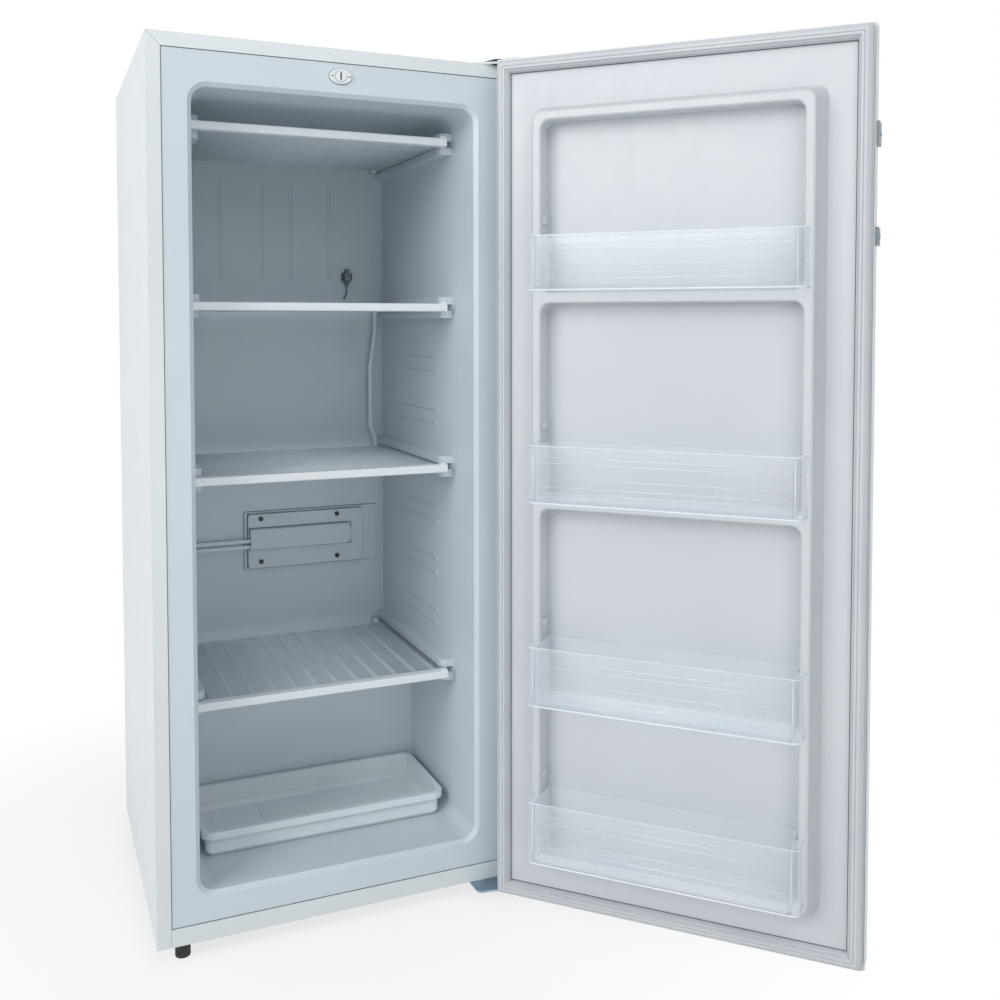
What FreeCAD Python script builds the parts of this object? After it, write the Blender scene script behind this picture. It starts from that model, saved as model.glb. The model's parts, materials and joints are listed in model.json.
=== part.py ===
"""Upright freezer with one door, four evaporator shelves, door bins and a bottom tray.

Millimetres. +X is right as seen from the front, +Y runs to the back, +Z is up.
The origin is on the floor under the middle of the cabinet's casing.
The door is built shut and then turned open about its hinge pins, which is how it stands at rest.
"""
import FreeCAD, Part
import math
import os

V = FreeCAD.Vector
X_AXIS, Y_AXIS, Z_AXIS = V(1, 0, 0), V(0, 1, 0), V(0, 0, 1)
SMALL = 0.01

# ---------------------------------------------------------------- casing
WIDTH = 550.0            # side to side
DEPTH = 512.0            # without the door
BASE_Z = 25.0            # underside of the casing above the floor
TOP_Z = 1320.0           # top of the casing
SHEET = 1.0              # painted steel
SKIN = 1.5               # vacuum-formed plastic
FLANGE = 20.0            # front flange of the casing
TRIM_HEIGHT, TRIM_FOLD = 26.0, 12.0
PORT_X, PORT_RISE, PORT_RADIUS, PORT_DEPTH = 120.0, 675.0, 12.0, 6.0

HALF = WIDTH / 2
FRONT, BACK = -DEPTH / 2, DEPTH / 2
TRIM_TOP = BASE_Z + TRIM_HEIGHT
RIM = FRONT + SHEET + 0.2                  # front of the liner's rim, just behind the flange

# ---------------------------------------------------------------- compressor niche
COMPRESSOR_RADIUS, COMPRESSOR_HEIGHT, COMPRESSOR_RISE = 66.0, 155.0, 11.0
COMPRESSOR_SEAM, SEAM_WIDTH, SEAM_HEIGHT = 76.0, 4.0, 5.0
COMPRESSOR_X = 60.0
COMPRESSOR_GAP = 16.0                      # between the compressor and the cabinet's back
NICHE_ROOM = 19.0                          # between the compressor and the niche's front wall
NICHE_RISE_FRONT, NICHE_RISE_BACK = 189.0, 245.0
COMPRESSOR_FOOT_X, COMPRESSOR_FOOT_Y, FOOT_CORNER = 72.0, 48.0, 10.0
GROMMET_RADIUS, GROMMET_BORE, GROMMET_GROOVE = 8.0, 3.2, 3.0
BOLT_RADIUS = 3.0
BASE_SHEET = 2.0
DRIER_RISE, DRIER_LENGTH, DRIER_RADIUS = 180.0, 90.0, 8.0
CONDENSER_WIDTH = 5.0
CONDENSER_INSET = 7.0                      # its middle in from the casing's sides
CONDENSER_PASSES, CONDENSER_PITCH = 7, 60.0
CONDENSER_FROM_BACK = 25.0
CONDENSER_DROP, CONDENSER_CROSSING = 80.0, 28.0

COMPRESSOR_Y = BACK - COMPRESSOR_GAP - COMPRESSOR_RADIUS
NICHE_Y = COMPRESSOR_Y - COMPRESSOR_RADIUS - NICHE_ROOM
NICHE_TOP, NICHE_BACK = BASE_Z + NICHE_RISE_FRONT, BASE_Z + NICHE_RISE_BACK
NICHE_SLOPE = (NICHE_BACK - NICHE_TOP) / (BACK - NICHE_Y)
COMPRESSOR_FEET = [(COMPRESSOR_X + dx, COMPRESSOR_Y + dy)
                   for dx in (-COMPRESSOR_FOOT_X, COMPRESSOR_FOOT_X)
                   for dy in (-COMPRESSOR_FOOT_Y, COMPRESSOR_FOOT_Y)]
DRIER_Y, DRIER_Z = COMPRESSOR_Y + 56.0, BASE_Z + DRIER_RISE
CONDENSER_X, CONDENSER_Y = HALF - CONDENSER_INSET, BACK - CONDENSER_FROM_BACK
CONDENSER_LOW = NICHE_TOP + 26.0           # where its two ends come out into the niche

# ---------------------------------------------------------------- liner
SIDE_WALL, FLOOR_WALL, ROOF_WALL, REAR_WALL = 61.0, 69.0, 70.0, 57.0     # insulation and skins
SIDE_DRAFT = 14.0        # the liner is this much narrower on each side at the back
TOP_DRAFT = 4.0          # and this much lower, over a level floor
LINER_RADIUS = 22.0      # its long corners
CORNER_BEVEL = 7.0       # its edges round the back wall
MOUTH_FLARE = 6.0
STEP_WALL = 50.0         # insulation between the niche and the liner's raised step
STEP_LIFT_FRONT, STEP_LIFT_BACK = 48.0, 60.0
RIDGE_FRONT, RIDGE_BACK, RIDGE_PITCH = 163.0, 60.0, 24.0
RIDGE_WIDTH, RIDGE_HEIGHT = 5.0, 2.0
RIDGE_RISES = (320.5, 408.0, 496.0, 665.5, 756.0)       # pairs of ridges above the mouth's lower edge
BEADS_X, BEAD_WIDTH, BEAD_HEIGHT = (-104.0, -28.0, 25.0, 98.0), 4.0, 1.0
BEAD_RISE, BEAD_DROP = 58.0, 30.0          # back wall beads, above shelf 2 and below shelf 1

MOUTH_HALF = HALF - SIDE_WALL
MOUTH_BOTTOM, MOUTH_TOP = BASE_Z + FLOOR_WALL, TOP_Z - ROOF_WALL
CAVITY_DEPTH = DEPTH - REAR_WALL
WALL_Y = FRONT + CAVITY_DEPTH              # back wall of the cavity
WALL_HALF = MOUTH_HALF - SIDE_DRAFT        # half its width
STEP_Y = NICHE_Y - STEP_WALL
STEP_TOP = NICHE_TOP + STEP_LIFT_FRONT
STEP_SLOPE = (NICHE_BACK + STEP_LIFT_BACK - STEP_TOP) / (WALL_Y - STEP_Y)

# ---------------------------------------------------------------- evaporator shelves
SHELF_DROPS = (42.0, 308.0)                # upper two shelves below the mouth's top
SHELF_RISES = (586.0, 246.0)               # lower two above its bottom
SHELF_FRONT = 83.0       # front bends of the tubes behind the casing's front
SHELF_REAR_GAP = 37.0    # from the rear bends to the back wall
TUBE = 6.0               # evaporator tube
PASSES = 12
BEND_STEPS = 3
WIRE, WIRE_PITCH = 1.6, 25.0
NET_SIDE_GAP = 6.0       # from the net to the liner where it is narrowest
COIL_INSET = 12.5        # outermost passes in from the net's ends
TRIM_LAP, TRIM_REACH, TRIM_SIZE, TRIM_WALL, TRIM_RADIUS = 8.5, 8.0, 13.0, 1.6, 2.5
RUNNER_FRONT, RUNNER_LAP, RUNNER_HEIGHT, RUNNER_NOSE = 96.0, 4.0, 12.0, 9.0
SLOT_PLAY = 1.0          # the shelf's play between two runners
LINK_DEPTH, LEAD_DEPTH = 16.0, 23.0        # tubes behind the shelves

SHELF_HEIGHTS = ([MOUTH_TOP - drop for drop in SHELF_DROPS]
                 + [MOUTH_BOTTOM + rise for rise in SHELF_RISES])
SHELF_BACK_Y = WALL_Y - SHELF_REAR_GAP
NET_HALF = WALL_HALF - NET_SIDE_GAP
NET_START, NET_END = FRONT + SHELF_FRONT + 5, SHELF_BACK_Y - 10
NET_REACH = TUBE / 2 + WIRE                # from a shelf's middle to the outside of its wires
COIL_HALF = NET_HALF - COIL_INSET
PASS_PITCH = 2 * COIL_HALF / (PASSES - 1)
WIRED_TO_WALL = (SHELF_HEIGHTS[0], SHELF_HEIGHTS[3])     # shelves whose right end enters the back wall

# ---------------------------------------------------------------- fittings on the back wall
COVER_WIDTH, COVER_INSET = 216.0, 44.0     # the inset is from the right end of the back wall
COVER_RISE, COVER_HEIGHT = 369.0, 99.0
COVER_DEPTH, CHANNEL_DEPTH, PLATE_DEPTH = 12.0, 20.0, 3.0
COVER_WALL = 1.5
BULB_X, BULB_RISE, BULB_RADIUS = 131.0, 48.0, 4.0       # the rise is above shelf 2

COVER_RIGHT = WALL_HALF - COVER_INSET
COVER_LEFT = COVER_RIGHT - COVER_WIDTH
COVER_LOW = MOUTH_BOTTOM + COVER_RISE
COVER_HIGH = COVER_LOW + COVER_HEIGHT
CHANNEL_LOW, CHANNEL_HIGH = COVER_LOW + 34.0, COVER_HIGH - 26.0
CHANNEL_RIGHT = COVER_RIGHT - 22.0
PLATE_RIGHT = COVER_RIGHT + 31.0
LEAD_HEIGHTS = (CHANNEL_HIGH - 22.0, CHANNEL_LOW + 6.0)
COVER_SCREWS = [(x, z) for x in (COVER_LEFT + 23.0, COVER_RIGHT - 49.0)
                for z in (COVER_LOW + 11.0, COVER_HIGH - 8.0)]
BULB_Z = SHELF_HEIGHTS[1] + BULB_RISE

# ---------------------------------------------------------------- thermostat
DIAL_DROP, DIAL_RADIUS, SHAFT_RADIUS = 40.0, 8.4, 3.0
BEZEL_LENGTH, BEZEL_HEIGHT, BEZEL_DEPTH = 34.0, 23.0, 3.0
THERMO_HALF, THERMO_DEPTH = 15.0, 28.0
DIAL_Z = TOP_Z - DIAL_DROP

# ---------------------------------------------------------------- feet, rollers and hinges
FIT = 0.05               # radial play of pins, studs and axles that turn
FOOT_INSET, FOOT_Y = 38.0, FRONT + 22.0
FOOT_RADIUS, FOOT_FLUTE, FOOT_SIDES, STUD_RADIUS = 11.0, 1.2, 24, 4.0
FOOT_GAP, STUD_RISE = 3.0, 25.0            # under the hinge bracket, and over the casing's underside
NUT_RADIUS, NUT_HEIGHT = 8.0, 9.0
ROLLER_INSET, ROLLER_Y = 53.0, BACK - 32.0
ROLLER_RADIUS, ROLLER_WIDTH, AXLE_RADIUS, AXLE_EXTRA = 13.0, 18.0, 3.0, 8.0
EAR_GAP = 0.6
HINGE_SIDE = 15.0        # hinge pins in from the casing's right side
HINGE_FRONT = 40.0       # hinge pins in front of the casing
PIN_RADIUS, PIN_LENGTH = 4.0, 16.0
BRACKET, BRACKET_TIP = 3.0, 10.0           # thickness of the hinge brackets and radius at the pin
LOWER_BRACKET, UPPER_BRACKET = 71.0, 61.0  # their reach in from the casing's side
BUSH_RADIUS, BUSH_FLANGE, BUSH_GAP = 7.0, 9.5, 0.3
HINGE_COVER_HEIGHT, HINGE_COVER_WALL = 16.0, 2.0

FOOT_X, ROLLER_X = HALF - FOOT_INSET, HALF - ROLLER_INSET
FOOT_TOP = BASE_Z - BRACKET - FOOT_GAP
STUD_TOP = BASE_Z + STUD_RISE
PIN_X, PIN_Y = HALF - HINGE_SIDE, FRONT - HINGE_FRONT

# ---------------------------------------------------------------- door
DOOR_OPEN = 133.0        # degrees open at rest
DOOR_RISE, DOOR_DROP = 2.5, 3.5            # its ends inside the casing's height
DOOR_FACE = 52.0         # its outer face in front of the casing
DOOR_THICKNESS = 38.0    # its outer panel, front to back
CAP_HEIGHT = 12.0
PANEL_RADIUS = 3.0
GASKET_INSET, GASKET_WIDTH = 4.0, 19.0
DYKE_SIDE, DYKE_FOOT, DYKE_HEAD = 12.0, 14.0, 24.0      # dyke's crest inside the mouth
DYKE_CREST = 25.0        # crest behind the casing's front when the door is shut
DYKE_DRAFT, DYKE_BAND, DYKE_RADIUS, DYKE_CHAMFER = 13.0, 13.0, 14.0, 2.0
POCKET_FLOOR = 8.0       # pocket floor in front of the casing's front
LOW_LEDGE_RISE, LOW_LEDGE = 534.0, 12.0    # lower ledge above the dyke's foot
HIGH_LEDGE_DROP, HIGH_LEDGE = 264.0, 16.0  # upper ledge's top below the dyke's head
BIN_PLAY, BIN_SEAT = 3.0, 1.0
BIN_FRONT = 60.0         # bins' front wall behind the casing's front when shut
BIN_WALL, BIN_RADIUS, BIN_CHAMFER, BIN_LIP = 2.0, 8.0, 7.0, 2.5
BIN_HEIGHTS = (80.0, 85.0, 88.0, 91.0)
THIRD_BIN_RISE = 248.0   # above the dyke's foot
LUG_RISE, LUG_SIZE, LUG_REACH = 20.0, 12.0, 3.5         # stops on the dyke above each bin
HANDLE_DROP, HANDLE_LENGTH = 120.5, 186.0
HANDLE_FEET = ((24.0, 15.5), (162.0, 12.0))      # below the grip's top, and half length
HANDLE_INBOARD = 34.0    # middle of the grip in from the door's free edge
HANDLE_STAND = 34.0      # finger room between the grip and the door
GRIP_WIDTH, GRIP_DEPTH, HANDLE_LAP = 22.0, 13.0, 4.0

DOOR_BOTTOM, DOOR_TOP = BASE_Z + DOOR_RISE, TOP_Z - DOOR_DROP
DOOR_Y = FRONT - DOOR_FACE
DOOR_REAR = DOOR_Y + DOOR_THICKNESS
DYKE_HALF = MOUTH_HALF - DYKE_SIDE
DYKE_BOTTOM, DYKE_TOP = MOUTH_BOTTOM + DYKE_FOOT, MOUTH_TOP - DYKE_HEAD
LEDGES = ((DYKE_BOTTOM + LOW_LEDGE_RISE, DYKE_BOTTOM + LOW_LEDGE_RISE + LOW_LEDGE),
          (DYKE_TOP - HIGH_LEDGE_DROP - HIGH_LEDGE, DYKE_TOP - HIGH_LEDGE_DROP))
POCKET_HALF = DYKE_HALF - DYKE_BAND
BIN_HALF = POCKET_HALF - BIN_PLAY
BIN_FLOORS = (LEDGES[1][1] + BIN_SEAT, LEDGES[0][1] + BIN_SEAT, DYKE_BOTTOM + THIRD_BIN_RISE,
              DYKE_BOTTOM + DYKE_BAND + BIN_SEAT)
BINS = [(low, low + height) for low, height in zip(BIN_FLOORS, BIN_HEIGHTS)]

# ---------------------------------------------------------------- bottom tray
TRAY_SIDE_GAP, TRAY_FRONT, TRAY_STEP_GAP, TRAY_SEAT = 17.0, 98.0, 9.0, 0.4
TRAY_HEIGHT, TRAY_WALL, TRAY_LIP, TRAY_BAND = 41.0, 2.0, 7.0, 11.0
TRAY_CORNER, TRAY_CHAMFER = 19.0, 7.0
TRAY_HALF = MOUTH_HALF - TRAY_SIDE_GAP
TRAY_BACK_Y = STEP_Y - TRAY_STEP_GAP


# ---------------------------------------------------------------- helpers
def box(x0, x1, y0, y1, z0, z1):
    return Part.makeBox(x1 - x0, y1 - y0, z1 - z0, V(x0, y0, z0))


def cylinder(radius, start, length, axis=Z_AXIS):
    return Part.makeCylinder(radius, length, V(*start), axis)


def rod(radius, start, length, axis=Z_AXIS, sides=12):
    """A small turned piece as a regular prism with its corners on the radius."""
    end = V(*start) + axis * length
    return tube([start, tuple(end)], 2 * radius * math.cos(math.pi / sides), sides)


def bore(radius, start, length, axis=Z_AXIS, sides=12):
    """A hole for a rod of the radius, whose flats lie on it."""
    return rod(radius / math.cos(math.pi / sides), start, length, axis, sides)


def extrude(points, direction):
    return Part.Face(Part.makePolygon([V(*p) for p in points + points[:1]])).extrude(direction)


def side_prism(points, x0, x1):
    """Extrude (y, z) points from x0 to x1."""
    return extrude([(x0, y, z) for y, z in points], V(x1 - x0, 0, 0))


def plan_prism(points, z0, z1):
    """Extrude (x, y) points from z0 to z1."""
    return extrude([(x, y, z0) for x, y in points], V(0, 0, z1 - z0))


def ring(centre, radii, sides):
    """Points round a centre at each of the radii in turn."""
    return [(centre[0] + radii[i % len(radii)] * math.cos(2 * math.pi * i / sides),
             centre[1] + radii[i % len(radii)] * math.sin(2 * math.pi * i / sides)) for i in range(sides)]


def straight_edges(shape, axis, keep=lambda centre: True):
    """Straight edges of the shape that run along the axis."""
    found = []
    for edge in shape.Edges:
        if isinstance(edge.Curve, Part.Line):
            if abs(edge.tangentAt(edge.FirstParameter).dot(axis)) > 0.99 and keep(edge.CenterOfMass):
                found.append(edge)
    return found


def rounded_box(x0, x1, y0, y1, z0, z1, radius, axis=Y_AXIS):
    block = box(x0, x1, y0, y1, z0, z1)
    return block.makeFillet(radius, straight_edges(block, axis))


def chamfered_box(x0, x1, y0, y1, z0, z1, size, axis=Y_AXIS):
    block = box(x0, x1, y0, y1, z0, z1)
    return block.makeChamfer(size, straight_edges(block, axis))


def fuse(shapes):
    return shapes[0].multiFuse(shapes[1:]).removeSplitter()


def group(shapes):
    """Separate solids that share one file."""
    return Part.makeCompound(shapes)


def mirrored(shape):
    return shape.mirror(V(0, 0, 0), X_AXIS)


def both_sides(shape):
    return [mirrored(shape), shape]


def tube(path, width, sides=6):
    """A mitred tube of regular section along a path, with a flat on top where it lies level."""
    points = [V(*p) for p in path]
    directions = [(b - a).normalize() for a, b in zip(points, points[1:])]
    across = directions[0].cross(Z_AXIS)
    if across.Length < 0.1:
        across = directions[0].cross(Y_AXIS)
    across = across.normalize()
    up = across.cross(directions[0])
    radius = width / 2 / math.cos(math.pi / sides)
    turns = [math.pi / 2 + 2 * math.pi * (i + 0.5) / sides for i in range(sides)]
    rings = [[points[0] + across * (radius * math.cos(t)) + up * (radius * math.sin(t)) for t in turns]]
    for i, point in enumerate(points[1:]):
        along = directions[i]
        following = directions[i + 1] if i + 1 < len(directions) else along
        plane = (along + following).normalize()
        rings.append([p + along * ((point - p).dot(plane) / along.dot(plane)) for p in rings[-1]])
    return polyhedron(rings, closed=False)


def polyhedron(rings, closed):
    """A solid between rings of points: quads from ring to ring, with ends unless it closes on itself."""
    faces = []
    pairs = list(zip(rings, rings[1:]))
    if closed:
        pairs.append((rings[-1], rings[0]))
    else:
        faces = [Part.Face(Part.makePolygon(end + end[:1])) for end in (rings[0], rings[-1])]
    for near, far in pairs:
        for i, corner in enumerate(near):
            j = (i + 1) % len(near)
            faces.append(Part.Face(Part.makePolygon([corner, near[j], far[j], far[i], corner])))
    solid = Part.Solid(Part.makeShell(faces))
    if solid.Volume < 0:
        solid.reverse()
    return solid


def bend(centre, radius, start):
    """Points of a half turn in plan about a centre, from the start angle in degrees, clockwise."""
    turns = [math.radians(start - 180.0 * i / BEND_STEPS) for i in range(BEND_STEPS + 1)]
    return [(centre[0] + radius * math.cos(t), centre[1] + radius * math.sin(t), centre[2]) for t in turns]


def screw(place, axis, length, head=4.5, height=2.2, shank=2.0):
    """A screw whose head sits on the point and whose shank runs against the axis."""
    low = V(*place) - axis * length
    return fuse([rod(head, place, height, axis, 10), rod(shank, tuple(low), length + height / 2, axis, 6)])


def opened(shape):
    """Turn a piece of the shut door to where the open door stands at rest."""
    turned = shape.copy()
    turned.rotate(V(PIN_X, PIN_Y, 0), Z_AXIS, DOOR_OPEN)
    return turned


# ---------------------------------------------------------------- casing
def outer_shell():
    shell = box(-HALF, HALF, FRONT, BACK, BASE_Z, TOP_Z).cut([
        box(-HALF + SHEET, HALF - SHEET, FRONT + SHEET, BACK + 1, BASE_Z - 1, TOP_Z - SHEET),
        box(-HALF + FLANGE, HALF - FLANGE, FRONT - 1, FRONT + SHEET + 1, BASE_Z - 1, TOP_Z - FLANGE)])
    inset, gap = 1.5, 0.5
    slit = box(-gap / 2, gap / 2, FRONT - 1, FRONT + SHEET, (inset - FLANGE) * math.sqrt(2) - gap, 0.0)
    for side in (-1, 1):
        mitre = slit.copy()
        mitre.rotate(V(0, 0, 0), Y_AXIS, 45 * side)
        mitre.translate(V(side * (HALF - inset), 0, TOP_Z - inset))
        shell = shell.cut(mitre)
    return shell.cut(upper_hinge_screws())


def bottom_trim():
    """Strip under the liner's mouth, between the side flanges, folded back along its lower edge."""
    half = HALF - FLANGE - 0.5
    return fuse([box(-half, half, FRONT, FRONT + SHEET, BASE_Z, TRIM_TOP),
                 box(-half, half, FRONT, FRONT + TRIM_FOLD, BASE_Z, BASE_Z + SHEET)])


def niche(grow=0.0):
    """Space for the compressor at the back of the cabinet's bottom."""
    front = NICHE_Y - grow
    top = NICHE_TOP + grow * math.sqrt(1 + NICHE_SLOPE ** 2) - NICHE_SLOPE * grow
    behind = BACK + 5
    return side_prism([(front, 0), (front, top), (behind, top + NICHE_SLOPE * (behind - front)), (behind, 0)],
                      -HALF, HALF)


def bottom_plate():
    """Steel sheet under the foam, bent up and back over the compressor niche."""
    half = HALF - SHEET
    floor = box(-half, half, FRONT + TRIM_FOLD + 0.5, NICHE_Y, BASE_Z, BASE_Z + SHEET)
    over = niche(SHEET).cut(niche()).common(box(-half, half, FRONT, BACK - SHEET, BASE_Z, TOP_Z))
    holes = both_sides(bore(STUD_RADIUS + 0.5, (FOOT_X, FOOT_Y, 0), BASE_Z + 5, sides=8))
    return fuse([floor, over]).cut(holes + lower_hinge_screws() + [condenser_tube()] + refrigerant_lines())


def back_panel():
    half = HALF - SHEET
    return box(-half, half, BACK - SHEET, BACK, NICHE_BACK + 2, TOP_Z - SHEET).cut(foam_ports())


def foam_ports():
    """Plugs, flush with the back panel, in the holes where the foam was poured."""
    return both_sides(rod(PORT_RADIUS, (PORT_X, BACK - PORT_DEPTH, BASE_Z + PORT_RISE), PORT_DEPTH, Y_AXIS))


def cabinet_foam():
    half, behind = HALF - SHEET, RIM + SKIN
    mouth = cavity(SKIN).fuse(box(-HALF, HALF, RIM - 20, behind, 0, TOP_Z))
    front_gap = box(-half, half, FRONT, FRONT + TRIM_FOLD + 0.5, 0, BASE_Z + SHEET + 1)
    nuts = both_sides(plan_prism(ring((FOOT_X, FOOT_Y), [NUT_RADIUS + 2], 6), 0, STUD_TOP + 3))
    pocket = box(-THERMO_HALF - 1, THERMO_HALF + 1, RIM, behind + THERMO_DEPTH + 1,
                 DIAL_Z - THERMO_HALF - 1, DIAL_Z + THERMO_HALF + 1)
    block = box(-half, half, behind, BACK - SHEET, BASE_Z + SHEET, TOP_Z - SHEET)
    return block.cut([mouth, collar(), niche(SHEET), front_gap, pocket, condenser_tube()] + nuts
                     + foam_ports() + refrigerant_lines() + joint_screws() + upper_hinge_screws()
                     + lower_hinge_screws() + [thermostat_bulb()])


# ---------------------------------------------------------------- liner
def cavity(grow, bevelled=False):
    """The liner's inner space, grown by the thickness of its skin where asked."""
    back = WALL_Y + grow
    half, back_half = MOUTH_HALF + grow, WALL_HALF + grow
    low, high = MOUTH_BOTTOM - grow, MOUTH_TOP + grow
    space = Part.makeWedge(-half, RIM - 10, low, low, -back_half,
                           half, back, high, high - TOP_DRAFT, back_half)
    step_front = STEP_Y + grow
    step_top = STEP_TOP + grow * (STEP_SLOPE - math.sqrt(1 + STEP_SLOPE ** 2))
    step = side_prism([(step_front, 0), (step_front, step_top),
                       (BACK, step_top + STEP_SLOPE * (BACK - step_front)), (BACK, 0)], -HALF, HALF)
    space = space.cut(step)
    long_edges = straight_edges(space, Y_AXIS, lambda c: c.y < WALL_Y - 50)
    space = space.makeFillet(LINER_RADIUS + grow, long_edges)
    if bevelled:
        rear = [e for e in space.Edges if abs(e.CenterOfMass.y - back) < SMALL]
        space = space.makeChamfer(CORNER_BEVEL, rear)
    return space


def collar():
    """What the liner fills behind its mouth's bevel."""
    reach = MOUTH_FLARE - SMALL
    return chamfered_box(-MOUTH_HALF - reach, MOUTH_HALF + reach, RIM, RIM + MOUTH_FLARE,
                         MOUTH_BOTTOM - reach, MOUTH_TOP + reach, LINER_RADIUS / 2 + 3)


def flared():
    """The cavity joined to the open air in front of the rim, with its mouth bevelled."""
    air = box(-HALF, HALF, RIM - 20, RIM, 0, TOP_Z)
    space = fuse([air, cavity(0.0, bevelled=True)])
    lips = [e for e in space.Edges
            if abs(e.CenterOfMass.y - RIM) < SMALL and abs(e.CenterOfMass.x) < MOUTH_HALF + 10
            and MOUTH_BOTTOM - 10 < e.CenterOfMass.z < MOUTH_TOP + 10]
    return space.makeChamfer(MOUTH_FLARE, lips)


def runner(z0, z1):
    """A rib on the liner's right wall that guides a shelf, with a rounded front end."""
    inner, front, back = NET_HALF - RUNNER_LAP, FRONT + RUNNER_FRONT, WALL_Y + SKIN / 2
    near = 0.3 * RUNNER_NOSE
    return plan_prism([(inner, back), (inner, front + RUNNER_NOSE), (inner + near, front + near),
                       (inner + RUNNER_NOSE, front), (MOUTH_HALF, front), (MOUTH_HALF, back)], z0, z1)


def ridge(z):
    """A shallow stiffening ridge pressed into the liner's right wall, thinning away to the back."""
    front, back = FRONT + RIDGE_FRONT, WALL_Y - RIDGE_BACK
    wall = MOUTH_HALF - SIDE_DRAFT * RIDGE_FRONT / CAVITY_DEPTH
    end = MOUTH_HALF - SIDE_DRAFT * (back - FRONT) / CAVITY_DEPTH
    plan = [(wall - RIDGE_HEIGHT, front), (wall + SKIN / 2, front), (end + SKIN / 2, back)]
    return plan_prism(plan, z - RIDGE_WIDTH / 2, z + RIDGE_WIDTH / 2)


def liner():
    outline = box(-HALF + SHEET, HALF - SHEET, RIM, WALL_Y + SKIN, TRIM_TOP - 9, TOP_Z - SHEET)
    outside = cavity(SKIN).fuse(box(-HALF, HALF, RIM, RIM + SKIN, 0, TOP_Z))
    right = []
    for height in SHELF_HEIGHTS:
        low, high = height - NET_REACH, height + NET_REACH + SLOT_PLAY
        right += [runner(low - RUNNER_HEIGHT, low), runner(high, high + RUNNER_HEIGHT)]
    for rise in RIDGE_RISES:
        right += [ridge(MOUTH_BOTTOM + rise + lift) for lift in (-RIDGE_PITCH / 2, RIDGE_PITCH / 2)]
    beads = [box(x - BEAD_WIDTH / 2, x + BEAD_WIDTH / 2, WALL_Y - BEAD_HEIGHT, WALL_Y + SKIN / 2,
                 SHELF_HEIGHTS[1] + BEAD_RISE, SHELF_HEIGHTS[0] - BEAD_DROP) for x in BEADS_X]
    backing = cavity(SKIN / 2)
    ribs = [piece.common(backing) for rib in right for piece in both_sides(rib)]
    skin = fuse([outside, collar()]).common(outline).cut(flared())
    hole = bore(SHAFT_RADIUS + 1, (0, RIM - 1, DIAL_Z), 5, Y_AXIS)
    return fuse([skin] + ribs + beads).cut([hole, thermostat_bulb()] + joint_screws() + evaporator_tails())


# ---------------------------------------------------------------- evaporator shelves
def coil_path(height):
    """Serpentine in plan from the back left to the back right."""
    turn = PASS_PITCH / 2
    front, rear = FRONT + SHELF_FRONT + turn, SHELF_BACK_Y - turn
    path = [(-COIL_HALF, SHELF_BACK_Y, height)]
    for i in range(PASSES - 1):
        half_turn = bend((-COIL_HALF + PASS_PITCH * (i + 0.5), front, height), turn, 180)
        if i % 2 == 0:
            path += [(x, 2 * front - y, z) for x, y, z in half_turn]
        else:
            path += [(x, y - front + rear, z) for x, y, z in half_turn]
    return path + [(COIL_HALF, WALL_Y + SKIN if height in WIRED_TO_WALL else SHELF_BACK_Y, height)]


def least_gap(path, width):
    """Least clear distance of a tube to its other passes, measured between points 5 mm apart."""
    points, travelled = [], 0.0
    for start, end in zip(path, path[1:]):
        start, end = V(*start), V(*end)
        steps = max(1, int((end - start).Length / 5))
        points += [(travelled + (end - start).Length * i / steps, start + (end - start) * (i / steps))
                   for i in range(steps)]
        travelled += (end - start).Length
    near = 4 * width
    return min((q - p).Length for i, (a, p) in enumerate(points) for b, q in points[i + 1:]
               if b - a > near) - width


def evaporator_tube(height):
    return tube(coil_path(height), TUBE)


def evaporator_tails():
    """What the shelves' tails take out of the back wall."""
    play = TUBE / 2 + 1
    return [box(COIL_HALF - play, COIL_HALF + play, WALL_Y - play, WALL_Y + 5, height - play, height + play)
            for height in WIRED_TO_WALL]


def evaporator_wires(height):
    """Cross wires above and below a shelf's tube, joined along both ends."""
    count = int((NET_END - NET_START) / WIRE_PITCH)
    pitch = (NET_END - NET_START - WIRE) / count
    gaps = []
    for i in range(count):
        near = NET_START + WIRE + i * pitch
        gaps.append(box(-NET_HALF + WIRE, NET_HALF - WIRE, near, near + pitch - WIRE, -1, WIRE + 1))
    upper = box(-NET_HALF, NET_HALF, NET_START, NET_END, 0, WIRE).cut(gaps)
    lower = upper.copy()
    upper.translate(V(0, 0, height + TUBE / 2))
    lower.translate(V(0, 0, height - TUBE / 2 - WIRE))
    return group([upper, lower])


def evaporator_trim(height):
    """Plastic strip with a groove that takes the front bends of a shelf."""
    half, front = TRIM_SIZE / 2, FRONT + SHELF_FRONT - TRIM_LAP
    rear, inner = FRONT + SHELF_FRONT + TRIM_REACH, half - TRIM_WALL
    strip = box(-NET_HALF - 1, NET_HALF + 1, front, rear, height - half, height + half)
    strip = strip.makeFillet(TRIM_RADIUS, straight_edges(strip, X_AXIS, lambda c: c.y < front + 1))
    return strip.cut(box(-HALF, HALF, front + TRIM_RADIUS, BACK, height - inner, height + inner))


def evaporator_links():
    """Tubes down the back corners: shelf 1 to 2 on the left, shelf 2 to 3 on the right."""
    start, out = SHELF_BACK_Y, SHELF_BACK_Y + LINK_DEPTH
    links = []
    for side, upper, lower in ((-1, 0, 1), (1, 1, 2)):
        x, sway = side * COIL_HALF, side * (COIL_HALF - 10)
        high, low = SHELF_HEIGHTS[upper], SHELF_HEIGHTS[lower]
        links.append(tube([(x, start, high), (x, out - 6, high), (x, out, high - 8), (x, out, high - 40),
                           (sway, out, high - 110), (sway, out, low + 40), (x, out, low + 16),
                           (x, out, low + 8), (x, out - 6, low), (x, start, low)], TUBE))
    return group(links)


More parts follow.
